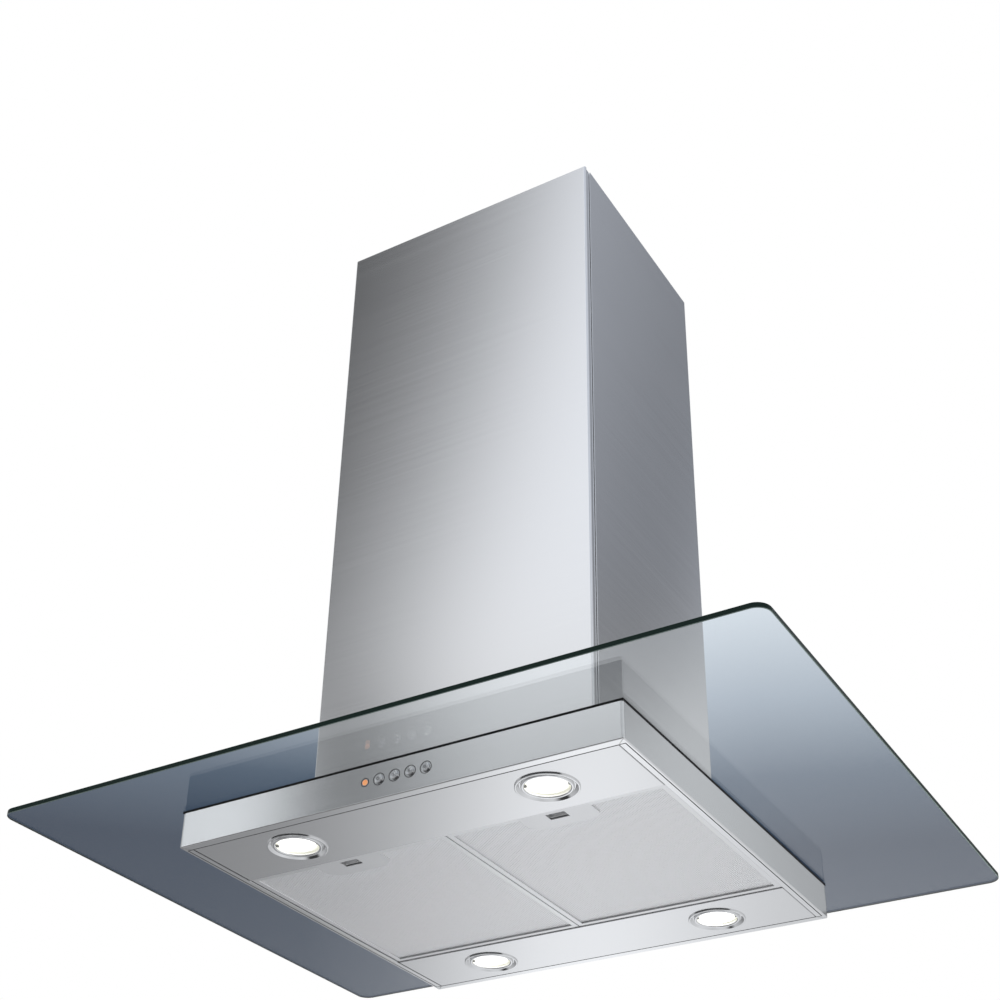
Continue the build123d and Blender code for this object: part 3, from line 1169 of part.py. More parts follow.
def write_blower():
    save(air_box(), "air_box")
    save(air_box_screws(), "air_box_screws")
    for name, side in SIDES.items():
        save(scroll_half(side), f"scroll_{name}")
    save(motor(), "motor")
    save(motor_shaft(), "motor_shaft")
    save(motor_bracket(), "motor_bracket")
    save(motor_bushes(), "motor_bushes")
    save(impeller(), "impeller")
    save(outlet_adapter(), "outlet_adapter")
    for name, end in ENDS.items():
        save(damper_flap(end), f"damper_{name}")
    save(terminal_box(), "terminal_box")
    save(cable_gland(), "cable_gland")


def write_filters():
    for name, side in SIDES.items():
        save(filter_frame(side), f"filter_frame_{name}")
        save(filter_mesh(side), f"filter_mesh_{name}")
        save(latch_housing(side), f"latch_housing_{name}")
        save(filter_latch(side), f"filter_latch_{name}")


os.makedirs("parts", exist_ok=True)
write_ceiling_side()
write_chimney()
write_body()
write_blower()
write_filters()
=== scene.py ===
import math
import random

import bmesh
import bpy
from mathutils import Matrix, Vector


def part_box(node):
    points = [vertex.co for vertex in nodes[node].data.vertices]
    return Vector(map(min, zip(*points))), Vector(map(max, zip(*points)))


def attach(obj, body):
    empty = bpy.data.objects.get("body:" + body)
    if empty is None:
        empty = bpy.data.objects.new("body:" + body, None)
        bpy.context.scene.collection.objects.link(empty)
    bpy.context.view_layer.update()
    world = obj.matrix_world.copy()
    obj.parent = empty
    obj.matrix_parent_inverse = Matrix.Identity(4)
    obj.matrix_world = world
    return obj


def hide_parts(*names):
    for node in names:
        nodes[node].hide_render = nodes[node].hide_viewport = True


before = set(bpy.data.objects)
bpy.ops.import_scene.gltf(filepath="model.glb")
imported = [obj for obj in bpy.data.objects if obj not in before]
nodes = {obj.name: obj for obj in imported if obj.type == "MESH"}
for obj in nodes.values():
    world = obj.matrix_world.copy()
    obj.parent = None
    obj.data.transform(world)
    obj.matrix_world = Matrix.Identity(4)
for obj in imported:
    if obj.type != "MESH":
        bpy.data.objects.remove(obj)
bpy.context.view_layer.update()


# ---- Finishes ------------------------------------------------------------------------------------
# A finish is a material with its own node tree. Number wraps a socket so that a mask or a height is
# written as plain arithmetic; every other node comes from Finish.node.
class Number:
    def __init__(self, tree, socket):
        self.tree = tree
        self.socket = socket

    def apply(self, operation, first, second=None):
        node = self.tree.nodes.new("ShaderNodeMath")
        node.operation = operation
        for slot_index, value in enumerate((first, second)):
            if isinstance(value, Number):
                self.tree.links.new(value.socket, node.inputs[slot_index])
            elif value is not None:
                node.inputs[slot_index].default_value = value
        return Number(self.tree, node.outputs[0])

    def __add__(self, other):
        return self.apply("ADD", self, other)

    def __radd__(self, other):
        return self.apply("ADD", other, self)

    def __sub__(self, other):
        return self.apply("SUBTRACT", self, other)

    def __rsub__(self, other):
        return self.apply("SUBTRACT", other, self)

    def __mul__(self, other):
        return self.apply("MULTIPLY", self, other)

    def __pow__(self, other):
        return self.apply("POWER", self, other)

    def __gt__(self, other):
        return self.apply("GREATER_THAN", self, other)

    def __abs__(self):
        return self.apply("ABSOLUTE", self)

    def sine(self):
        return self.apply("SINE", self)

    def step(self, low, high):
        """0 below low, 1 above high, smooth between; low may be the larger."""
        node = self.tree.nodes.new("ShaderNodeMapRange")
        node.interpolation_type = "SMOOTHSTEP"
        self.tree.links.new(self.socket, node.inputs["Value"])
        node.inputs["From Min"].default_value = low
        node.inputs["From Max"].default_value = high
        return Number(self.tree, node.outputs["Result"])


class Finish:
    def __init__(self, name, tree=None):
        self.material = None
        if tree is None:
            self.material = bpy.data.materials.new(name)
            self.material.use_nodes = True
            tree = self.material.node_tree
        self.tree = tree
        tree.nodes.clear()

    def node(self, kind, settings=None, output=0, **sockets):
        """One node: its settings are set first, then its sockets take values or links. i0, i6 and the like
        name a socket by its number, where several have the same name."""
        node = self.tree.nodes.new(kind)
        for key, value in (settings or {}).items():
            if key == "stops":
                ramp = node.color_ramp
                while len(ramp.elements) < len(value):
                    ramp.elements.new(0.5)
                for element, (position, colour) in zip(ramp.elements, value):
                    element.position = position
                    element.color = (*colour, 1.0) if hasattr(colour, "__len__") else (colour,) * 3 + (1.0,)
            else:
                setattr(node, key, value)
        for key, value in sockets.items():
            name = key.replace("_", " ")
            by_number = name[0] == "i" and name[1:].isdigit()
            socket = node.inputs[int(name[1:]) if by_number else name]
            if isinstance(value, Number):
                self.tree.links.new(value.socket, socket)
            else:
                socket.default_value = value
        return Number(self.tree, node.outputs[output])

    def axes(self, vector):
        split = self.tree.nodes.new("ShaderNodeSeparateXYZ")
        self.tree.links.new(vector.socket, split.inputs[0])
        return [Number(self.tree, output) for output in split.outputs]

    def place(self, scale=(1.0, 1.0, 1.0)):
        """The point on the object, in metres, stretched by scale."""
        point = self.node("ShaderNodeTexCoord", output="Object")
        return self.node("ShaderNodeMapping", {"vector_type": "POINT"}, Vector=point, Scale=scale)

    def noise(self, scale, stretch=(1.0, 1.0, 1.0), detail=3.0, roughness=0.5):
        return self.node("ShaderNodeTexNoise", Vector=self.place(stretch), Scale=scale, Detail=detail,
                         Roughness=roughness)

    def mix(self, factor, first, second):
        """Two colours mixed by a number."""
        return self.node("ShaderNodeMix", {"data_type": "RGBA"}, output=2, i0=factor, i6=first, i7=second)

    def bump(self, height, strength, distance):
        return self.node("ShaderNodeBump", Height=height, Strength=strength, Distance=distance)

    def surface(self, shader):
        out = self.tree.nodes.new("ShaderNodeOutputMaterial")
        self.tree.links.new(shader.socket, out.inputs["Surface"])
        return self.material


def dress(material, *names):
    """Gives CAD nodes their finish."""
    for name in names:
        slots = nodes[name].data.materials
        slots.clear()
        slots.append(material)


def grey(value, tint=(1.0, 1.0, 1.0)):
    return tuple(value * t for t in tint) + (1.0,)


# ---- Studio --------------------------------------------------------------------------------------
# A pale room with soft boxes round it. The sheet steel shows them as broad gradients, darker low down at
# the front, and the clear glass shows the room's blue-grey walls, lighter towards the ceiling.
world = bpy.data.worlds.new("studio")
bpy.context.scene.world = world
world.use_nodes = True
room = Finish("studio", world.node_tree)
direction = room.node("ShaderNodeTexCoord", output="Generated")
across, along, height = room.axes(direction)
turn = (0 - across).apply("ARCTAN2", 0 - across, 0 - along) * (0.5 / math.pi) + 0.5


def ring_of_light(shift, stops):
    """Brightness round the room; each stop is degrees from the front, towards the left, and a level."""
    marks = [((angle + 180) / 360, level) for angle, level in stops]
    return room.node("ShaderNodeValToRGB", {"stops": marks}, Fac=shift)


tilted = turn + (height - 0.5) * (26 / 360)
high_boxes = ring_of_light(tilted, [
    (-180, 0.5), (-163, 0.55), (-158, 0.52), (-156, 0.26), (-154, 0.2), (-151.5, 0.26),
    (-148, 0.36), (-125, 0.75), (-95, 0.45), (-60, 0.85), (-25, 0.6), (0, 0.7), (18, 0.92),
    (31, 1.0), (33.5, 0.86), (36, 0.52), (38, 0.33), (40, 0.18), (42, 0.1), (58, 0.09), (75, 0.5),
    (95, 0.85), (120, 0.4), (150, 0.2), (170, 0.4), (180, 0.5)])
low_boxes = ring_of_light(turn, [
    (-180, 0.25), (-163, 0.25), (-160, 0.34), (-156.5, 0.62), (-153, 0.42), (-146, 0.5),
    (-120, 0.75), (-90, 0.5), (-60, 0.8), (-20, 0.6), (10, 0.55), (24, 0.6), (31, 0.76),
    (34, 0.5), (36, 0.22), (38, 0.24), (39.3, 0.9), (40.5, 1.25), (44, 0.95), (50, 0.4),
    (80, 0.75), (110, 0.45), (150, 0.3), (180, 0.25)])
floor_glow = ring_of_light(turn, [
    (-180, 0.6), (-120, 0.8), (-60, 0.65), (0, 0.75), (60, 0.7), (100, 0.5), (130, 0.24),
    (138, 0.28), (142, 0.33), (145, 0.48), (148, 0.76), (150.5, 1.0), (153, 1.02), (156, 0.86),
    (159, 0.7), (165, 0.62), (180, 0.6)])
upper = room.mix(height.step(0.44, 0.5), low_boxes, high_boxes)
dark_front = height.step(-0.9, -0.8) * height.step(-0.1, -0.2) * (0 - along).step(0.1, 0.3)
lower = room.mix(dark_front, floor_glow, grey(0.05))
steel_view = room.mix(height.step(-0.06, 0.1), lower, upper)
cool = room.mix(turn.step(0.62, 0.5) * height.step(0.46, 0.56), (0.965, 0.985, 1.02, 1.0),
                (0.9, 0.955, 1.07, 1.0))
steel_tinted = room.node("ShaderNodeMix", {"data_type": "RGBA", "blend_type": "MULTIPLY"}, output=2, i0=1.0,
                         i6=steel_view, i7=cool)
glass_view = room.node("ShaderNodeValToRGB", {"stops": [
    (0.0, (0.02, 0.04, 0.075)), (0.394, (0.03, 0.05, 0.09)), (0.433, (0.12, 0.16, 0.22)),
    (0.476, (0.41, 0.47, 0.55)), (0.52, (0.7, 0.76, 0.83)), (1.0, (0.75, 0.8, 0.86))]}, Fac=abs(height))
ray = room.node("ShaderNodeLightPath", output="Is Camera Ray")
path = ray.socket.node
sharp = Number(room.tree, path.outputs["Is Singular Ray"])
mirrored = Number(room.tree, path.outputs["Glossy Depth"]) > 0.5
seen = room.mix(sharp * (1 - mirrored), steel_tinted, glass_view)
seen = room.mix(ray, seen, grey(1.0))
background = room.node("ShaderNodeBackground", Color=seen, Strength=1.0)
world_out = room.tree.nodes.new("ShaderNodeOutputWorld")
room.tree.links.new(background.socket, world_out.inputs["Surface"])

FLOOR_DROP = 2.3
FLOOR_HALF = 60.0
floor_mesh = bpy.data.meshes.new("floor")
floor_corners = [(-1, -1), (1, -1), (1, 1), (-1, 1)]
floor_mesh.from_pydata([(x * FLOOR_HALF, y * FLOOR_HALF, -FLOOR_DROP) for x, y in floor_corners], [],
                       [(0, 1, 2, 3)])
floor = bpy.data.objects.new("floor", floor_mesh)
bpy.context.scene.collection.objects.link(floor)
floor_paint = Finish("floor_paint")
floor_shade = floor_paint.mix(floor_paint.noise(0.6), grey(0.86), grey(0.9))
floor_mesh.materials.append(floor_paint.surface(floor_paint.node(
    "ShaderNodeBsdfPrincipled", Base_Color=floor_shade, Roughness=0.8)))
floor.visible_glossy = False
floor.visible_transmission = False


def soft_box(name, place, aim, size, power):
    light = bpy.data.lights.new(name, "AREA")
    light.shape = "RECTANGLE"
    light.size, light.size_y = size
    light.energy = power
    lamp = bpy.data.objects.new(name, light)
    lamp.location = place
    lamp.rotation_euler = (Vector(aim) - Vector(place)).to_track_quat("-Z", "Y").to_euler()
    lamp.visible_glossy = False
    lamp.visible_transmission = False
    bpy.context.scene.collection.objects.link(lamp)


soft_box("key_box", (-2.2, -2.6, 0.6), (0, 0, -0.7), (1.6, 1.6), 18)
soft_box("fill_box", (2.6, -1.2, -0.4), (0, 0, -0.7), (1.4, 1.4), 8)
soft_box("rear_box", (-1.0, 2.8, 0.8), (0, 0, -0.6), (1.8, 1.2), 14)
soft_box("floor_box", (0.4, 0.6, -2.2), (0, 0, -0.9), (1.8, 1.8), 44)

# The camera stands below the hood, in front of its right-hand end, and looks up at it.
camera_data = bpy.data.cameras.new("camera")
camera_data.sensor_width = 36.0
camera_data.lens = 59.9
camera_data.shift_y = 0.1
camera_data.clip_end = 50.0
camera = bpy.data.objects.new("camera", camera_data)
stand = Matrix.Translation((0.882, -1.504, -1.616))
heading = Matrix.Rotation(0.5441, 4, "Z")
upward = Matrix.Rotation(math.pi / 2 + 0.5579, 4, "X")
roll = Matrix.Rotation(0.0185, 4, "Z")
camera.matrix_world = stand @ heading @ upward @ roll
bpy.context.scene.collection.objects.link(camera)
bpy.context.scene.camera = camera
bpy.context.scene.view_settings.view_transform = "Standard"


# ---- Ceiling plate, uprights and hanging frame ---------------------------------------------------
# Folded from galvanised sheet, so the zinc's crystals show as a faint spangle.
def galvanised(name, tone):
    finish = Finish(name)
    spangle = finish.node("ShaderNodeTexVoronoi", {"feature": "SMOOTH_F1"}, output="Color",
                          Vector=finish.place(), Scale=110.0)
    crystal, _, _ = finish.axes(spangle)
    cloud = finish.noise(9.0, detail=5.0)
    shade = finish.mix(crystal * 0.6 + cloud * 0.4, grey(tone * 0.82, (0.97, 0.99, 1.0)), grey(tone * 1.12))
    rough = 0.34 + crystal * 0.14 + cloud * 0.1
    dent = finish.bump(cloud + crystal * 0.3, 0.15, 0.0006)
    return finish.surface(finish.node("ShaderNodeBsdfPrincipled", Base_Color=shade, Metallic=0.92,
                                      Roughness=rough, Normal=dent))


dress(galvanised("galvanised_frame", 0.62), "ceiling_plate", "upper_uprights", "lower_uprights", "frame_base",
      "motor_bracket")
dress(galvanised("galvanised_box", 0.56), "air_box", "body_top_plate")


# ---- Bolts, screws and clips ---------------------------------------------------------------------
# Steel turned and headed cold, then bright zinc plated; the clips are sprung strip with the same plating.
def plated(name, tone, tint):
    finish = Finish(name)
    stain = finish.noise(160.0, detail=4.0)
    turned = finish.noise(40.0, stretch=(1.0, 1.0, 30.0), detail=2.0)
    shade = finish.mix(stain, grey(tone * 0.85, tint), grey(tone, tint))
    return finish.surface(finish.node(
        "ShaderNodeBsdfPrincipled", Base_Color=shade, Metallic=1.0, Roughness=0.18 + stain * 0.16,
        Normal=finish.bump(turned, 0.12, 0.0002)))


dress(plated("zinc_plate", 0.78, (0.97, 0.99, 1.0)), "frame_bolts", "height_bolts", "clamp_bolts",
      "lamp_panel_screws", "air_box_screws", "cover_clips", "upper_cover_screws")


# ---- Chimney covers ------------------------------------------------------------------------------
# Stainless sheet brushed along its width, folded at the corners and lapped behind the front's return.
# The grain is fine lines, with a few longer streaks and a faint cloudiness.
def brushed(name, grain, tone, roughness, anisotropy, relief, contrast=0.07):
    finish = Finish(name)
    fine_stretch = tuple(4.0 if axis == grain else 1100.0 for axis in "xyz")
    broad_stretch = tuple(1.6 if axis == grain else 260.0 for axis in "xyz")
    if grain == "level":
        fine_stretch, broad_stretch = (4.0, 4.0, 1100.0), (1.6, 1.6, 260.0)
    fine = finish.noise(1.0, stretch=fine_stretch, detail=2.0)
    streak = finish.noise(1.0, stretch=broad_stretch, detail=3.0)
    cloud = finish.noise(5.0, detail=3.0)
    grain_mask = fine * 0.6 + streak * 0.4
    shade = finish.mix(grain_mask * 0.75 + cloud * 0.25, grey(tone * (1 - contrast)),
                       grey(tone * (1 + contrast)))
    rough = roughness - 0.04 + grain_mask * 0.06 + cloud * 0.02
    return finish.surface(finish.node(
        "ShaderNodeBsdfPrincipled", Base_Color=shade, Metallic=1.0, Roughness=rough, Anisotropic=anisotropy,
        Anisotropic_Rotation=0.25, Normal=finish.bump(fine * 0.7 + streak * 0.3, relief, 0.0001)))


dress(brushed("brushed_chimney", "level", 0.86, 0.13, 0.6, 0.05), "lower_cover_front", "lower_cover_rear")
dress(brushed("brushed_inner_chimney", "level", 0.82, 0.15, 0.6, 0.05), "upper_cover_front",
      "upper_cover_rear")


# ---- Glass canopy --------------------------------------------------------------------------------
# One sheet of tempered float glass, very faintly green. Its ground edge and arris are drawn as an opaque
# surface: their near-black colour is painted shade and the lighter line along the arris is a painted
# highlight, standing in for the light they gather from the whole depth of the sheet.
canopy = Finish("canopy_glass")
_, _, upright = canopy.axes(canopy.node("ShaderNodeNewGeometry", output="True Normal"))
tilt = abs(upright)
wave = canopy.noise(7.0, detail=1.0)
clear = canopy.node("ShaderNodeBsdfPrincipled", Base_Color=(0.955, 0.98, 0.985, 1.0), Roughness=0.0, IOR=1.56,
                    Transmission_Weight=1.0, Normal=canopy.bump(wave, 0.01, 0.0004))
edge_mottle = canopy.noise(300.0, stretch=(1.0, 1.0, 6.0))
# Painted shade for the edge faces, near black with a random mottle, and a painted highlight on the arris.
painted_edge_shade = canopy.mix(edge_mottle, (0.006, 0.014, 0.011, 1.0), (0.016, 0.032, 0.026, 1.0))
painted_edge_and_arris_highlight = canopy.mix(tilt.step(0.3, 0.75), painted_edge_shade, (0.16, 0.2, 0.18, 1.0))
edge = canopy.node("ShaderNodeBsdfPrincipled", Base_Color=painted_edge_and_arris_highlight, Roughness=0.16 + edge_mottle * 0.1, IOR=1.5,
                   Specular_IOR_Level=0.06)
glass_mix = canopy.tree.nodes.new("ShaderNodeMixShader")
canopy.tree.links.new(tilt.step(0.93, 0.97).socket, glass_mix.inputs[0])
canopy.tree.links.new(edge.socket, glass_mix.inputs[1])
canopy.tree.links.new(clear.socket, glass_mix.inputs[2])
dress(canopy.surface(Number(canopy.tree, glass_mix.outputs[0])), "glass_canopy")


# ---- Gaskets and bushes --------------------------------------------------------------------------
# Black EPDM strip and moulded bushes, matt with a little bloom on the surface.
def rubber(name):
    finish = Finish(name)
    bloom = finish.noise(60.0, detail=6.0)
    skin = finish.noise(900.0, detail=2.0)
    shade = finish.mix(bloom, grey(0.006), grey(0.017))
    return finish.surface(finish.node(
        "ShaderNodeBsdfPrincipled", Base_Color=shade, Roughness=0.62 + bloom * 0.2,
        Normal=finish.bump(skin, 0.3, 0.0001)))


dress(rubber("black_rubber"), "chimney_gasket", "canopy_gasket", "glass_bushes", "motor_bushes")


# ---- Body and lamp panels ------------------------------------------------------------------------
# The body is a folded ring of the same brushed sheet; its grain runs round it. The lamp panels under it
# are brushed from left to right, and are a little duller because kitchen grease is wiped off them.
dress(brushed("brushed_body", "level", 0.88, 0.12, 0.3, 0.04), "body_shell")
dress(brushed("brushed_panel", "x", 0.84, 0.19, 0.0, 0.03, 0.04), "lamp_panel_front", "lamp_panel_rear")


# ---- Painted shadow strip and gasket lip ---------------------------------------------------------
# Two thin extruded rings of black rubber. The one in the gap round the panels and filters is a painted
# shadow: a dark strip standing in for the shade in that gap. The other is the canopy gasket's lip, seen as a
# line under the glass.
def new_piece(name, mesh_maker, body, material, bevel=0.0):
    """A piece made in mesh code, which rides on a body and takes its finish from a slot."""
    shape = bmesh.new()
    mesh_maker(shape)
    mesh = bpy.data.meshes.new(name)
    bmesh.ops.recalc_face_normals(shape, faces=shape.faces)
    shape.to_mesh(mesh)
    shape.free()
    piece = bpy.data.objects.new(name, mesh)
    bpy.context.scene.collection.objects.link(piece)
    mesh.materials.append(material)
    if bevel:
        rounding = piece.modifiers.new("rounding", "BEVEL")
        rounding.width = bevel
        rounding.segments = 2
    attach(piece, body)
    return piece


def prism(shape, points, low, high, turn=Matrix.Identity(4)):
    """A closed prism: an outline in X and Y from low to high, then turned into place."""
    rings = [[shape.verts.new(turn @ Vector((x, y, z))) for x, y in points] for z in (low, high)]
    count = len(points)
    for k in range(count):
        following = (k + 1) % count
        shape.faces.new((rings[0][k], rings[0][following], rings[1][following], rings[1][k]))
    shape.faces.new(reversed(rings[0]))
    shape.faces.new(rings[1])


def closed_ring(shape, inner, outer, low, high, turn=Matrix.Identity(4)):
    """A flat ring between two outlines that have the same number of corners."""
    edges = ((inner, low), (outer, low), (outer, high), (inner, high))
    loops = [[shape.verts.new(turn @ Vector((x, y, z))) for x, y in outline] for outline, z in edges]
    for loop, beside in zip(loops, loops[1:] + loops[:1]):
        for k in range(len(loop)):
            following = (k + 1) % len(loop)
            shape.faces.new((loop[k], loop[following], beside[following], beside[k]))


def rectangle(half_x, half_y):
    return [(-half_x, -half_y), (half_x, -half_y), (half_x, half_y), (-half_x, half_y)]


panel_low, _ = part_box("lamp_panel_front")
body_low, body_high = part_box("body_shell")
glass_low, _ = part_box("glass_canopy")
# Sizes of the painted shadow strip round the panels, then of the canopy gasket's lip.
SHADOW_WIDTH, SHADOW_DEPTH, SHADOW_PROUD, SHADOW_LAP = 0.0011, 0.0004, 0.00006, 0.0001
LIP_INSET, LIP_PROUD, LIP_LAP = 0.002, 0.0005, 0.0002


def panel_gap_shadow(shape):
    """A painted shadow: a dark strip in the gap between the body's turned-in lip and the panels and filters
    inside it.
    """
    half_x, half_y = -panel_low.x - SHADOW_LAP, -panel_low.y - SHADOW_LAP
    closed_ring(shape, rectangle(half_x, half_y), rectangle(half_x + SHADOW_WIDTH, half_y + SHADOW_WIDTH),
                panel_low.z - SHADOW_PROUD, panel_low.z + SHADOW_DEPTH)


def canopy_bead(shape):
    """The lip of the canopy gasket, which stands a little proud of the body under the glass."""
    half_x, half_y = body_high.x, body_high.y
    closed_ring(shape, rectangle(half_x - LIP_INSET, half_y - LIP_INSET),
                rectangle(half_x + LIP_PROUD, half_y + LIP_PROUD), body_high.z - LIP_LAP, glass_low.z)


# One black rubber serves both the painted shadow strip round the panels and the gasket lip.
shadow_strip_and_lip_rubber = rubber("shadow_strip_and_lip_rubber")
# The strip round the panels is painted shadow, standing in for the shade in the gap.
new_piece("panel_gap_shadow", panel_gap_shadow, "hood", shadow_strip_and_lip_rubber)
new_piece("canopy_bead", canopy_bead, "hood", shadow_strip_and_lip_rubber)


# ---- Lamps ---------------------------------------------------------------------------------------
# Each lamp is a polished turned ring pressed through the panel, a glass held in it by two sprung clips,
# and a faceted reflector bulb above. The bulbs are lit, so the glass is white with a pale yellow rim.
def polished(name, tone):
    finish = Finish(name)
    haze = finish.noise(70.0, detail=5.0)
    return finish.surface(finish.node(
        "ShaderNodeBsdfPrincipled", Base_Color=finish.mix(haze, grey(tone * 0.94), grey(tone)), Metallic=1.0,
        Roughness=0.05 + haze * 0.07, Normal=finish.bump(haze, 0.03, 0.0003)))


def lit_glass(name, strength):
    finish = Finish(name)
    x, y, _ = finish.axes(finish.node("ShaderNodeTexCoord", output="Generated"))
    x, y = x - 0.5, y - 0.5
    radius = (x * x + y * y) ** 0.5
    facet = finish.node("ShaderNodeTexVoronoi", {"feature": "DISTANCE_TO_EDGE"}, Vector=finish.place(),
                        Scale=230.0)
    rim = radius.step(0.3, 0.47)
    glow = finish.mix(rim, (1.0, 0.99, 0.95, 1.0), (0.62, 0.61, 0.42, 1.0))
    glow = finish.mix(facet.step(0.02, 0.12) * -0.55 + 0.55, glow, (0.62, 0.61, 0.5, 1.0))
    return finish.surface(finish.node(
        "ShaderNodeBsdfPrincipled", Base_Color=grey(0.8), Roughness=0.12, IOR=1.5, Emission_Color=glow,
        Emission_Strength=strength, Normal=finish.bump(facet, 0.3, 0.0005)))


LAMPS = [f"{end}_{side}" for end in ("front", "rear") for side in ("left", "right")]
dress(polished("polished_ring", 0.86), *[f"lamp_bezel_{lamp}" for lamp in LAMPS])
dress(lit_glass("lit_lens", 0.8), *[f"lamp_lens_{lamp}" for lamp in LAMPS])
dress(lit_glass("lit_bulb", 3.0), "lamp_bulbs")

clip_steel = plated("clip_steel", 0.35, (1.0, 0.98, 0.95))
for lamp in LAMPS:
    low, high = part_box(f"lamp_bezel_{lamp}")
    lens_low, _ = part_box(f"lamp_lens_{lamp}")
    centre = (low + high) / 2

    def clips(shape, centre=centre, seat=lens_low.z):
        for angle in (math.radians(20), math.radians(200)):
            place = Matrix.Translation((centre.x, centre.y, seat)) @ Matrix.Rotation(angle, 4, "Z")
            foot = [(0.0212, -0.0026), (0.0231, -0.0030), (0.0231, 0.0030), (0.0212, 0.0026), (0.0204, 0.0)]
            prism(shape, foot, -0.0010, -0.0001, place)

    new_piece(f"lens_clips_{lamp}", clips, "hood", clip_steel, bevel=0.0002)


# ---- Controls ------------------------------------------------------------------------------------
# Four round push buttons with spun faces stand in a row beside an amber lens. Each face carries a small
# mark: a ring for the lamps, and one, two or three bars for the blower's speeds.
def moulded(name, tone, grain):
    finish = Finish(name)
    flow = finish.noise(14.0, detail=4.0)
    spark = finish.noise(grain, detail=2.0)
    return finish.surface(finish.node(
        "ShaderNodeBsdfPrincipled", Base_Color=finish.mix(flow, grey(tone), grey(tone * 1.6)),
        Roughness=0.42 + spark * 0.2, Normal=finish.bump(spark, 0.25, 0.0001)))


spun = Finish("spun_button")
bx, _, bz = spun.axes(spun.node("ShaderNodeTexCoord", output="Generated"))
bx, bz = bx - 0.5, bz - 0.5
reach = (bx * bx + bz * bz) ** 0.5
rings = (reach * 260.0).sine()
worn = spun.noise(400.0)
dress(spun.surface(spun.node(
    "ShaderNodeBsdfPrincipled", Base_Color=spun.mix(worn, grey(0.74), grey(0.86)), Metallic=1.0,
    Roughness=0.2 + worn * 0.12, Normal=spun.bump(rings, 0.2, 0.00008))),
    "button_light", "button_speed_low", "button_speed_high", "button_boost")

amber = Finish("amber_lens")
cell = amber.noise(700.0)
dress(amber.surface(amber.node(
    "ShaderNodeBsdfPrincipled", Base_Color=amber.mix(cell, (0.62, 0.2, 0.07, 1.0), (0.8, 0.34, 0.14, 1.0)),
    Roughness=0.22 + cell * 0.1,
    Emission_Color=amber.mix(cell, (0.9, 0.33, 0.12, 1.0), (1.0, 0.5, 0.22, 1.0)),
    Emission_Strength=0.55, Coat_Weight=0.5)), "indicator_lens")

ink = Finish("mark_ink")
speck = ink.noise(1500.0)
mark_paint = ink.surface(ink.node(
    "ShaderNodeBsdfPrincipled", Base_Color=ink.mix(speck, grey(0.05), grey(0.12)),
    Roughness=0.5 + speck * 0.2))
MARK_RAISED = 0.00006
BAR_WIDTH, BAR_LENGTH, BAR_PITCH = 0.0006, 0.0028, 0.0013


def bar_marks(shape, place, count):
    for k in range(count):
        x = (k - (count - 1) / 2) * BAR_PITCH
        outline = [(x - BAR_WIDTH / 2, -BAR_LENGTH / 2), (x + BAR_WIDTH / 2, -BAR_LENGTH / 2),
                   (x + BAR_WIDTH / 2, BAR_LENGTH / 2), (x - BAR_WIDTH / 2, BAR_LENGTH / 2)]
        prism(shape, outline, 0.0, MARK_RAISED, place)


def circle(radius, count=40):
    return [(radius * math.cos(2 * math.pi * k / count), radius * math.sin(2 * math.pi * k / count))
            for k in range(count)]


# A thin dark ring, moulded like the control housing, stands round each button and the lens a little proud of
# the body: it is painted shade, standing in for the shade in the gap round them.
shade_ring_plastic = moulded("shade_ring_moulding", 0.02, 900.0)
SHADE_RING_GAP, SHADE_RING_WIDTH, SHADE_RING_SUNK, SHADE_RING_PROUD = 0.0002, 0.0007, 0.0004, 0.00015
for name in ("button_light", "button_speed_low", "button_speed_high", "button_boost", "indicator_lens"):
    low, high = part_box(name)
    face = Matrix.Translation(((low.x + high.x) / 2, body_low.y, (low.z + high.z) / 2)) @ Matrix.Rotation(
        math.pi / 2, 4, "X")
    edge_radius = (high.x - low.x) / 2

    def shade_ring(shape, face=face, edge_radius=edge_radius):
        inner = edge_radius + SHADE_RING_GAP
        closed_ring(shape, circle(inner), circle(inner + SHADE_RING_WIDTH), -SHADE_RING_SUNK, SHADE_RING_PROUD, face)

    # Each ring is painted shade round a button or the lens.
    new_piece(f"collar_{name}", shade_ring, "hood", shade_ring_plastic)

for bars, button in enumerate(("light", "speed_low", "speed_high", "boost")):
    low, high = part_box(f"button_{button}")
    face = Matrix.Translation(((low.x + high.x) / 2, low.y, (low.z + high.z) / 2)) @ Matrix.Rotation(
        math.pi / 2, 4, "X")

    def mark(shape, face=face, bars=bars):
        if bars:
            bar_marks(shape, face, bars)
        else:
            closed_ring(shape, circle(0.0011), circle(0.0017), 0.0, MARK_RAISED, face)

    new_piece(f"button_mark_{button}", mark, f"button_{button}", mark_paint)


# ---- Moulded and electrical pieces ---------------------------------------------------------------
# The blower scroll, wheel, flaps, adapter and boxes are moulded in black polypropylene with a fine
# spark-eroded grain. The motor is phosphated steel, and the board is green solder resist.
dress(moulded("black_moulding", 0.025, 1100.0), "scroll_left", "scroll_right", "impeller", "outlet_adapter",
      "damper_front", "damper_rear", "terminal_box", "cable_gland", "control_housing")

phosphated = Finish("phosphated_steel")
crystal = phosphated.noise(500.0, detail=5.0)
dress(phosphated.surface(phosphated.node(
    "ShaderNodeBsdfPrincipled", Base_Color=phosphated.mix(crystal, grey(0.14), grey(0.26)), Metallic=0.7,
    Roughness=0.4 + crystal * 0.2, Normal=phosphated.bump(crystal, 0.1, 0.0001))), "motor")
dress(plated("ground_shaft", 0.7, (1.0, 1.0, 1.0)), "motor_shaft")

resist = Finish("solder_resist")
trace = resist.noise(260.0)
dress(resist.surface(resist.node(
    "ShaderNodeBsdfPrincipled", Base_Color=resist.mix(trace.step(0.45, 0.55), (0.01, 0.09, 0.03, 1.0),
                                                      (0.03, 0.16, 0.06, 1.0)),
    Roughness=0.3 + trace * 0.1)), "control_board")


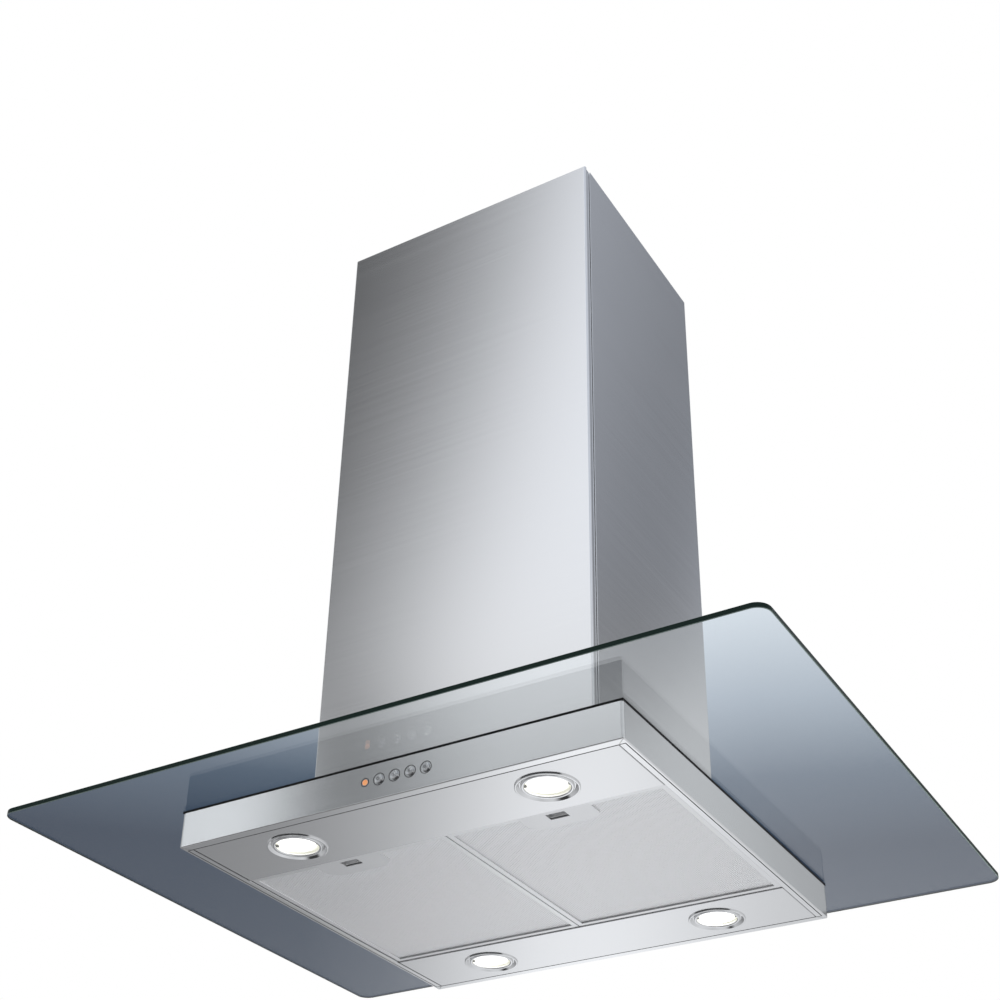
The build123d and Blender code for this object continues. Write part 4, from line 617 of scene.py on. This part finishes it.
# ---- Grease filters ------------------------------------------------------------------------------
# Each filter is a rolled aluminium channel round a pad of expanded aluminium: sheet that is slit and
# pulled open into diamonds. Two open sheets lie over a crushed pad, and a plate holds the latch.
def aluminium(name, low_tone, high_tone, roughness, scale, metallic=1.0):
    finish = Finish(name)
    matt = finish.noise(scale, detail=4.0)
    drawn = finish.noise(1.0, stretch=(900.0, 6.0, 900.0), detail=2.0)
    return finish.surface(finish.node(
        "ShaderNodeBsdfPrincipled", Base_Color=finish.mix(matt, grey(low_tone), grey(high_tone)),
        Metallic=metallic,
        Roughness=roughness + matt * 0.12, Normal=finish.bump(drawn * 0.5 + matt * 0.5, 0.1, 0.0001)))


rolled = aluminium("rolled_aluminium", 0.84, 0.92, 0.26, 30.0)
strand_metal = aluminium("expanded_aluminium", 0.96, 0.99, 0.3, 45.0, metallic=0.9)
pad_metal = aluminium("crushed_aluminium", 0.42, 0.6, 0.5, 90.0, metallic=0.05)
plate_metal = aluminium("latch_aluminium", 0.84, 0.92, 0.3, 24.0)
SIDES = ("left", "right")
dress(rolled, *[f"filter_frame_{side}" for side in SIDES])
dress(plate_metal, *[f"latch_housing_{side}" for side in SIDES], *[f"filter_latch_{side}" for side in SIDES])

LATCH_CORNER, LATCH_LAP = 0.0115, 0.0012
STRAND_LEAN, SHEET_THICKNESS, SHEET_STEP, PAD_STEP, MESH_GAP = 0.12, 0.0005, 0.0007, 0.0017, 0.0001
PAD_COLUMNS, PAD_ROWS = 84, 96


def under_latch(x, y, low, high):
    """Whether a point of the mesh lies under the latch plate, whose two inner corners are cut off."""
    inset = min(x - low.x, high.x - x) - LATCH_LAP
    depth = high.y - LATCH_LAP - y
    return inset > 0 and depth > 0 and inset + depth > LATCH_CORNER


def strand(shape, path, width, bottom, thickness):
    """One flat strand along a path of points, tilted a little by the slitting, closed at its ends."""
    lean = thickness * STRAND_LEAN
    rings = []
    for x, y in path:
        section = [(y - width / 2, bottom), (y + width / 2, bottom + lean),
                   (y + width / 2, bottom + thickness), (y - width / 2, bottom + thickness - lean)]
        rings.append([shape.verts.new((x, across, up)) for across, up in section])
    for first, second in zip(rings, rings[1:]):
        for k in range(4):
            following = (k + 1) % 4
            shape.faces.new((first[k], first[following], second[following], second[k]))
    shape.faces.new(reversed(rings[0]))
    shape.faces.new(rings[-1])


def expanded_sheet(shape, low, high, bottom, long_way, short_way, width, latch):
    """Zigzag strands side by side, which meet at their knuckles and leave diamond openings."""
    columns = int((high.x - low.x) / (long_way / 2))
    rows = int((high.y - low.y) / (short_way / 2))
    half_step = (high.x - low.x) / columns
    row_step = (high.y - low.y) / rows
    swing = row_step / 2 - width * 0.15
    for row in range(rows):
        middle = low.y + (row + 0.5) * row_step
        runs = [[]]
        for column in range(columns + 1):
            x = low.x + column * half_step
            y = middle + (swing if (column + row) % 2 else -swing)
            if under_latch(x, y, *latch):
                runs.append([])
            else:
                runs[-1].append((x, y))
        for run in runs:
            if len(run) > 1:
                strand(shape, run, width, bottom, SHEET_THICKNESS)


def crushed_pad(shape, low, high, bottom, top, latch, seed):
    """The foil pad behind the sheets: a slab with a crumpled underside."""
    chance = random.Random(seed)
    grid = []
    for row in range(PAD_ROWS + 1):
        y = low.y + (high.y - low.y) * row / PAD_ROWS
        line = []
        for column in range(PAD_COLUMNS + 1):
            x = low.x + (high.x - low.x) * column / PAD_COLUMNS
            line.append(shape.verts.new((x, y, bottom + chance.random() * (top - bottom) * 0.5)))
        grid.append(line)
    for row in range(PAD_ROWS):
        for column in range(PAD_COLUMNS):
            near, far = grid[row], grid[row + 1]
            corners = (near[column], near[column + 1], far[column + 1], far[column])
            middle = sum((v.co for v in corners), Vector()) / 4
            if not under_latch(middle.x, middle.y, *latch):
                shape.faces.new(corners)
    bmesh.ops.delete(shape, geom=[v for v in shape.verts if not v.link_faces], context="VERTS")
    skin = list(shape.faces)
    raised = bmesh.ops.extrude_face_region(shape, geom=skin)
    for item in raised["geom"]:
        if isinstance(item, bmesh.types.BMVert):
            item.co.z = top


for side in SIDES:
    low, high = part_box(f"filter_mesh_{side}")
    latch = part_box(f"latch_housing_{side}")
    body = f"filter_{side}"
    bottom = low.z + MESH_GAP

    def outer(shape):
        expanded_sheet(shape, low, high, bottom, 0.0046, 0.0034, 0.0016, latch)

    def inner(shape):
        expanded_sheet(shape, low, high, bottom + SHEET_STEP, 0.0064, 0.0048, 0.0020, latch)

    def pad(shape):
        crushed_pad(shape, low, high, bottom + PAD_STEP, high.z - MESH_GAP, latch, len(side))

    face = new_piece(f"mesh_outer_{side}", outer, body, strand_metal)
    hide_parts(f"filter_mesh_{side}")
    new_piece(f"mesh_inner_{side}", inner, body, strand_metal)
    new_piece(f"mesh_pad_{side}", pad, body, pad_metal)
